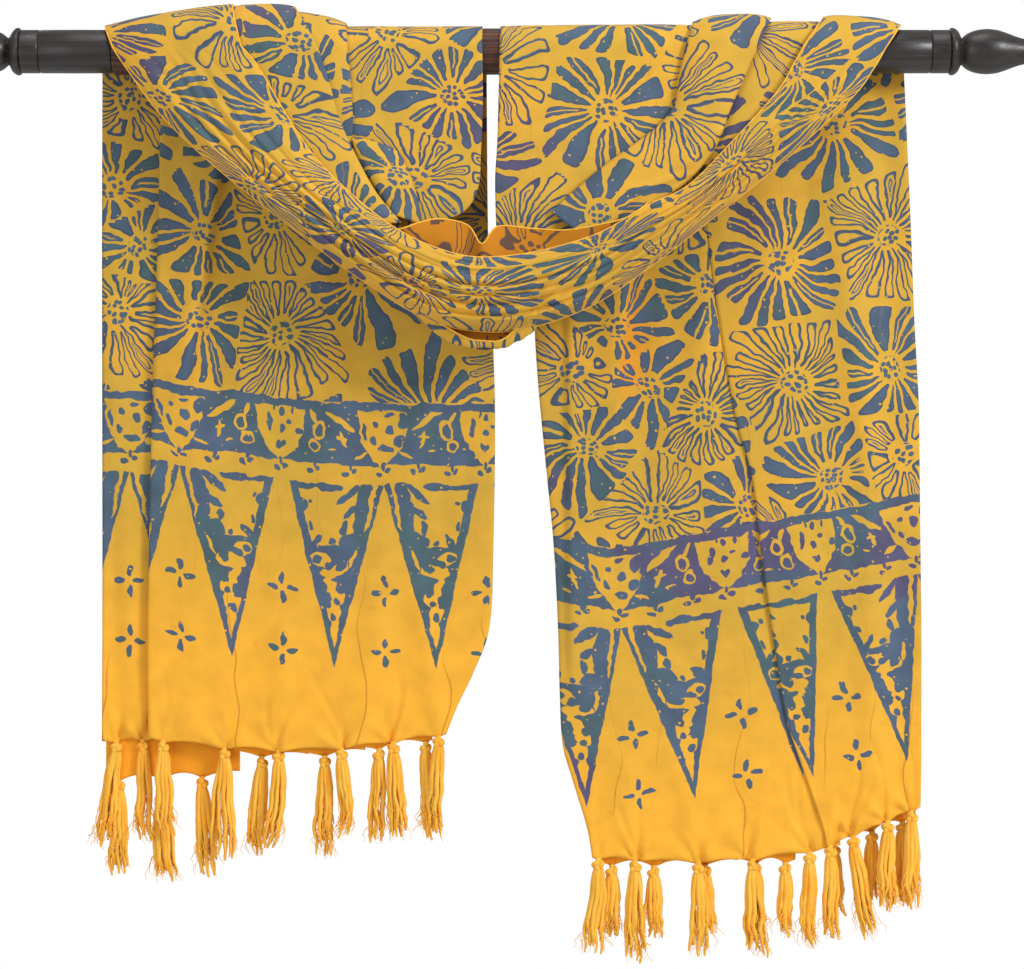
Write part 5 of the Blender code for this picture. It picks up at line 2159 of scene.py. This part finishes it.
@dataclass
class Rod:
    """The turned rod: a reeded brown middle, black sleeves and turned black ends."""

    pole_radius: float = 0.0180
    sleeve_radius: float = 0.0168
    sleeve_end: float = 0.3620
    joint: float = 0.0003
    eased: float = 0.0006
    reeds: int = 22
    reed_depth: float = 0.0007
    sides: int = 72

    def turned(self, profile: Sequence[Turn], side: int) -> tuple[Array, list]:
        """A closed solid turned about the rod.

        Args:
            profile: Its profile.
            side: The right end (1) or the left (-1).

        Returns:
            Its points and its faces.
        """
        angles = np.linspace(0, 2 * np.pi, self.sides, endpoint=False)
        ring = np.stack([np.zeros(self.sides), np.cos(angles), np.sin(angles) * side], axis=1)
        loops = [ring * turn.radius + (side * turn.x, 0, 0) for turn in profile]
        return np.concatenate(loops), ring_faces(len(loops), self.sides)

    def sleeve(self) -> list[Turn]:
        """The sleeve's profile, with its eased ends and its fine groove."""
        r, start, groove = self.sleeve_radius, POLE_HALF + self.joint, 0.3472
        return [
            Turn(start, r - 0.0008),
            Turn(start + 0.0004, r - 0.0002),
            Turn(start + 0.0010, r),
            Turn(0.3190, r + 0.0001),
            Turn(groove - 0.0009, r),
            Turn(groove - 0.0005, r - 0.0003),
            Turn(groove, r - 0.0008),
            Turn(groove + 0.0005, r - 0.0003),
            Turn(groove + 0.0009, r),
            Turn(self.sleeve_end - 0.0006, r),
            Turn(self.sleeve_end, r - 0.0006),
        ]

    def finial(self) -> list[Turn]:
        """The end's profile: a ring, a neck, a bulb with a fine line, a taper and a button."""
        knots = read_rows(Turn, """
            362.3 17.2, 363.2 18.2, 364.5 18.4, 366.2 17.9, 369 15.5, 371.2 11, 372.2 10.7,
            376.5 14, 382.2 16.3, 388 17.3, 392.4 17.5, 392.8 17.2, 393.2 17.5, 400 16.6,
            406.7 14.5, 414 11.8, 420.4 10, 429 9.4, 437 10.4, 444 9, 448 5
        """)
        fine = curve_rows(knots, np.linspace(0, len(knots) - 1, 4 * len(knots) - 3))
        return [Turn(float(x), float(r)) for x, r in fine]

    def pole(self) -> tuple[Array, list]:
        """The middle: a long prism whose outline is a ring of round-topped reeds."""
        per_reed = 8
        count = self.reeds * per_reed
        angles = np.linspace(0, 2 * np.pi, count, endpoint=False)
        crown = np.abs(np.sin(np.arange(count) * np.pi / per_reed)) ** 0.45
        radius = self.pole_radius - self.reed_depth * (1 - crown)
        loops = []
        inner, eased = POLE_HALF - self.eased, self.eased
        for x, shrink in ((-POLE_HALF, eased), (-inner, 0), (inner, 0), (POLE_HALF, eased)):
            r = radius - shrink
            loops.append(np.stack([np.full(count, x), r * np.cos(angles), r * np.sin(angles)], axis=1))
        return np.concatenate(loops), ring_faces(len(loops), count)

    def make(self, brown: Material, black: Material) -> list[Object]:
        """Builds both pieces of the rod and rides them.

        Args:
            brown: The middle's finish.
            black: The ends' finish.

        Returns:
            The pieces.
        """
        pole = new_piece("rod_pole_wood", *self.pole(), [brown])
        ends = [self.turned(profile, side) for side in (-1, 1) for profile in (self.sleeve(), self.finial())]
        black_ends = new_piece("rod_ends_wood", *joined(ends), [black])
        for piece in (pole, black_ends):
            recalculated(piece)
            piece.data.set_sharp_from_angle(angle=math.radians(38))
        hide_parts("rod_pole")
        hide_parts("rod_sleeve_left", "rod_sleeve_right", "rod_finial_left", "rod_finial_right")
        for piece in (pole, black_ends):
            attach(piece, BODY)
            LOG.info("%s: %d faces", piece.name, len(piece.data.polygons))
        return [pole, black_ends]


def recalculated(piece: Object) -> None:
    """Turns a closed piece's faces outwards."""
    shape = bmesh.new()
    shape.from_mesh(piece.data)
    bmesh.ops.recalc_face_normals(shape, faces=shape.faces[:])
    shape.to_mesh(piece.data)
    shape.free()


# Studio


@dataclass
class Studio:
    """A plain pale floor, soft lights and the photograph's camera."""

    eye: tuple[float, float, float] = (0.021, -2.2, -0.338)
    view_degrees: float = 20.6
    floor_z: float = -1.6
    floor_radius: float = 4.5
    sky: float = 0.46

    def floor(self) -> None:
        """Adds a round floor far below the rod."""
        shape = bmesh.new()
        bmesh.ops.create_circle(shape, cap_ends=True, radius=self.floor_radius, segments=96)
        bmesh.ops.translate(shape, verts=shape.verts[:], vec=(0, 0, self.floor_z))
        mesh = bpy.data.meshes.new("studio_floor")
        shape.to_mesh(mesh)
        shape.free()
        made, g, shader = plain_material("Pale floor", 0.85)
        place = g.node("ShaderNodeTexCoord").outputs["Object"]
        pale = g.blend(g.noise(place, 3, 3), (0.80, 0.80, 0.79, 1), (0.86, 0.86, 0.86, 1))
        g.feed(shader.inputs["Base Color"], pale)
        mesh.materials.append(made)
        floor = linked("studio_floor", mesh)

    def lamp(self, name: str, place: tuple, aim: tuple, size: float, power: float) -> None:
        """Adds a soft square light.

        Args:
            name: Its name.
            place: Where it is.
            aim: The point that it shines at.
            size: The length of its sides.
            power: Its power in watts.
        """
        light = bpy.data.lights.new(name, "AREA")
        light.size = size
        light.energy = power
        made = linked(name, light)
        made.location = place
        made.rotation_euler = (Vector(aim) - Vector(place)).to_track_quat("-Z", "Y").to_euler()

    def camera(self) -> None:
        """Adds the camera at the photograph's viewing angle."""
        lens = bpy.data.cameras.new("front_camera")
        lens.sensor_fit = "HORIZONTAL"
        lens.angle = math.radians(self.view_degrees)
        lens.clip_end = 50
        made = linked("front_camera", lens)
        made.location = self.eye
        made.rotation_euler = (math.pi / 2, 0, 0)
        bpy.context.scene.camera = made

    def world(self) -> None:
        """Sets a white surround that lights softly."""
        world = bpy.data.worlds.new("white_surround")
        world.use_nodes = True
        g = Graph(world.node_tree)
        background = world.node_tree.nodes["Background"]
        background.inputs["Color"].default_value = (1, 1, 1, 1)
        seen = g.node("ShaderNodeLightPath").outputs["Is Camera Ray"]
        g.feed(background.inputs["Strength"], g.fused(seen, 1.0 - self.sky, self.sky))
        bpy.context.scene.world = world

    def make(self) -> None:
        """Builds the whole studio."""
        self.floor()
        self.lamp("key_light", (2.1, -1.8, 1.0), (0, 0, -0.35), 0.8, 54)
        self.lamp("fill_light", (-1.6, -2.4, 0.0), (0, 0, -0.35), 1.6, 14)
        self.lamp("top_light", (0, -0.6, 2.0), (0, 0, 0), 1.2, 16)
        self.lamp("back_light", (-1.8, 2.4, 0.8), (0, 0, -0.35), 1.4, 26)
        self.camera()
        self.world()
        bpy.context.scene.view_settings.view_transform = "Standard"


# Putting it together


class Sarong:
    """The whole cloth: its stretches, selvedges and fringes."""

    def __init__(self) -> None:
        """Builds the finishes."""
        self.batik = BatikFinish()
        self.thread = ThreadFinish().build()
        self.tree = thread_tree()

    def fringe(self, name: str, hem: Array, tassels: Sequence[Tassel], seed: int) -> Object:
        """Builds the fringe of one hem.

        Args:
            name: The CAD node that it stands for.
            hem: The hem's line.
            tassels: Its tassels.
            seed: Fixes its random values.

        Returns:
            The piece, riding on the root.
        """
        made = Fringe(name + "_threads", hem, tassels, seed).make(self.tree, self.thread)
        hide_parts(name)
        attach(made, BODY)
        LOG.info("%s: %d faces", made.name, len(made.data.polygons))
        return made

    def selvedges(self, lines: Sequence[Array]) -> Object:
        """Builds the rolled selvedges as one piece."""
        made = new_piece("rolled_selvedges", *joined([tube(line, SELVEDGE) for line in lines]), [self.thread])
        recalculated(made)
        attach(made, BODY)
        return made

    def sheet(self, stretch: Stretch) -> None:
        """Args:
            stretch: The stretch.
        """
        made = stretch.make(self.batik)
        made.name = stretch.name + "_cloth" if stretch.name in stretch.replaces else stretch.name
        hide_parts(*stretch.replaces)
        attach(made, BODY)

    def make(self) -> None:
        """Builds every stretch, its selvedges and its fringe."""
        swag = Swag().build()
        pleats = [pleat.build() for pleat in PLEATS]
        loose = [part.build() for part in LOOSE]
        lines = [swag.points[:, 0], swag.points[:, -1], loose[1].points[:, -1], loose[2].points[:, 0]]
        selvedges = self.selvedges(lines)
        left_hem = hem_of_strips(LEFT_STRIPS, ("outer", "second", "third", "inner"))
        right_hem = hem_of_strips(RIGHT_STRIPS, ("inner", "wide", "second", "outer"))
        left_back = self.fringe("left_back_fringe", left_hem, LEFT_BACK_TASSELS, 51)
        right_back = self.fringe("right_back_fringe", right_hem, RIGHT_BACK_TASSELS, 52)
        self.sheet(swag)
        for stretch in (*pleats, *loose):
            self.sheet(stretch)
        for number, fall in enumerate(FALLS):
            stretch = fall.build()
            name = fall.name.replace("_fall", "_fringe")
            fringe = self.fringe(name, fall.hem, fall.tassels, 53 + number)
            self.sheet(stretch)


BROWN = WoodFinish("Brown wood", (0.120, 0.034, 0.013, 1), (0.036, 0.010, 0.005, 1), 0.52, 0.02)
BLACK = WoodFinish("Black wood", (0.026, 0.020, 0.018, 1), (0.010, 0.008, 0.007, 1), 0.40, 0.12)


def main() -> None:
    """Builds the studio, the rod and the sarong."""
    logging.basicConfig(level=logging.INFO, format="%(name)s: %(message)s")
    Studio().make()
    Rod().make(BROWN.build(), BLACK.build())
    Sarong().make()


if __name__ == "__main__":
    main()
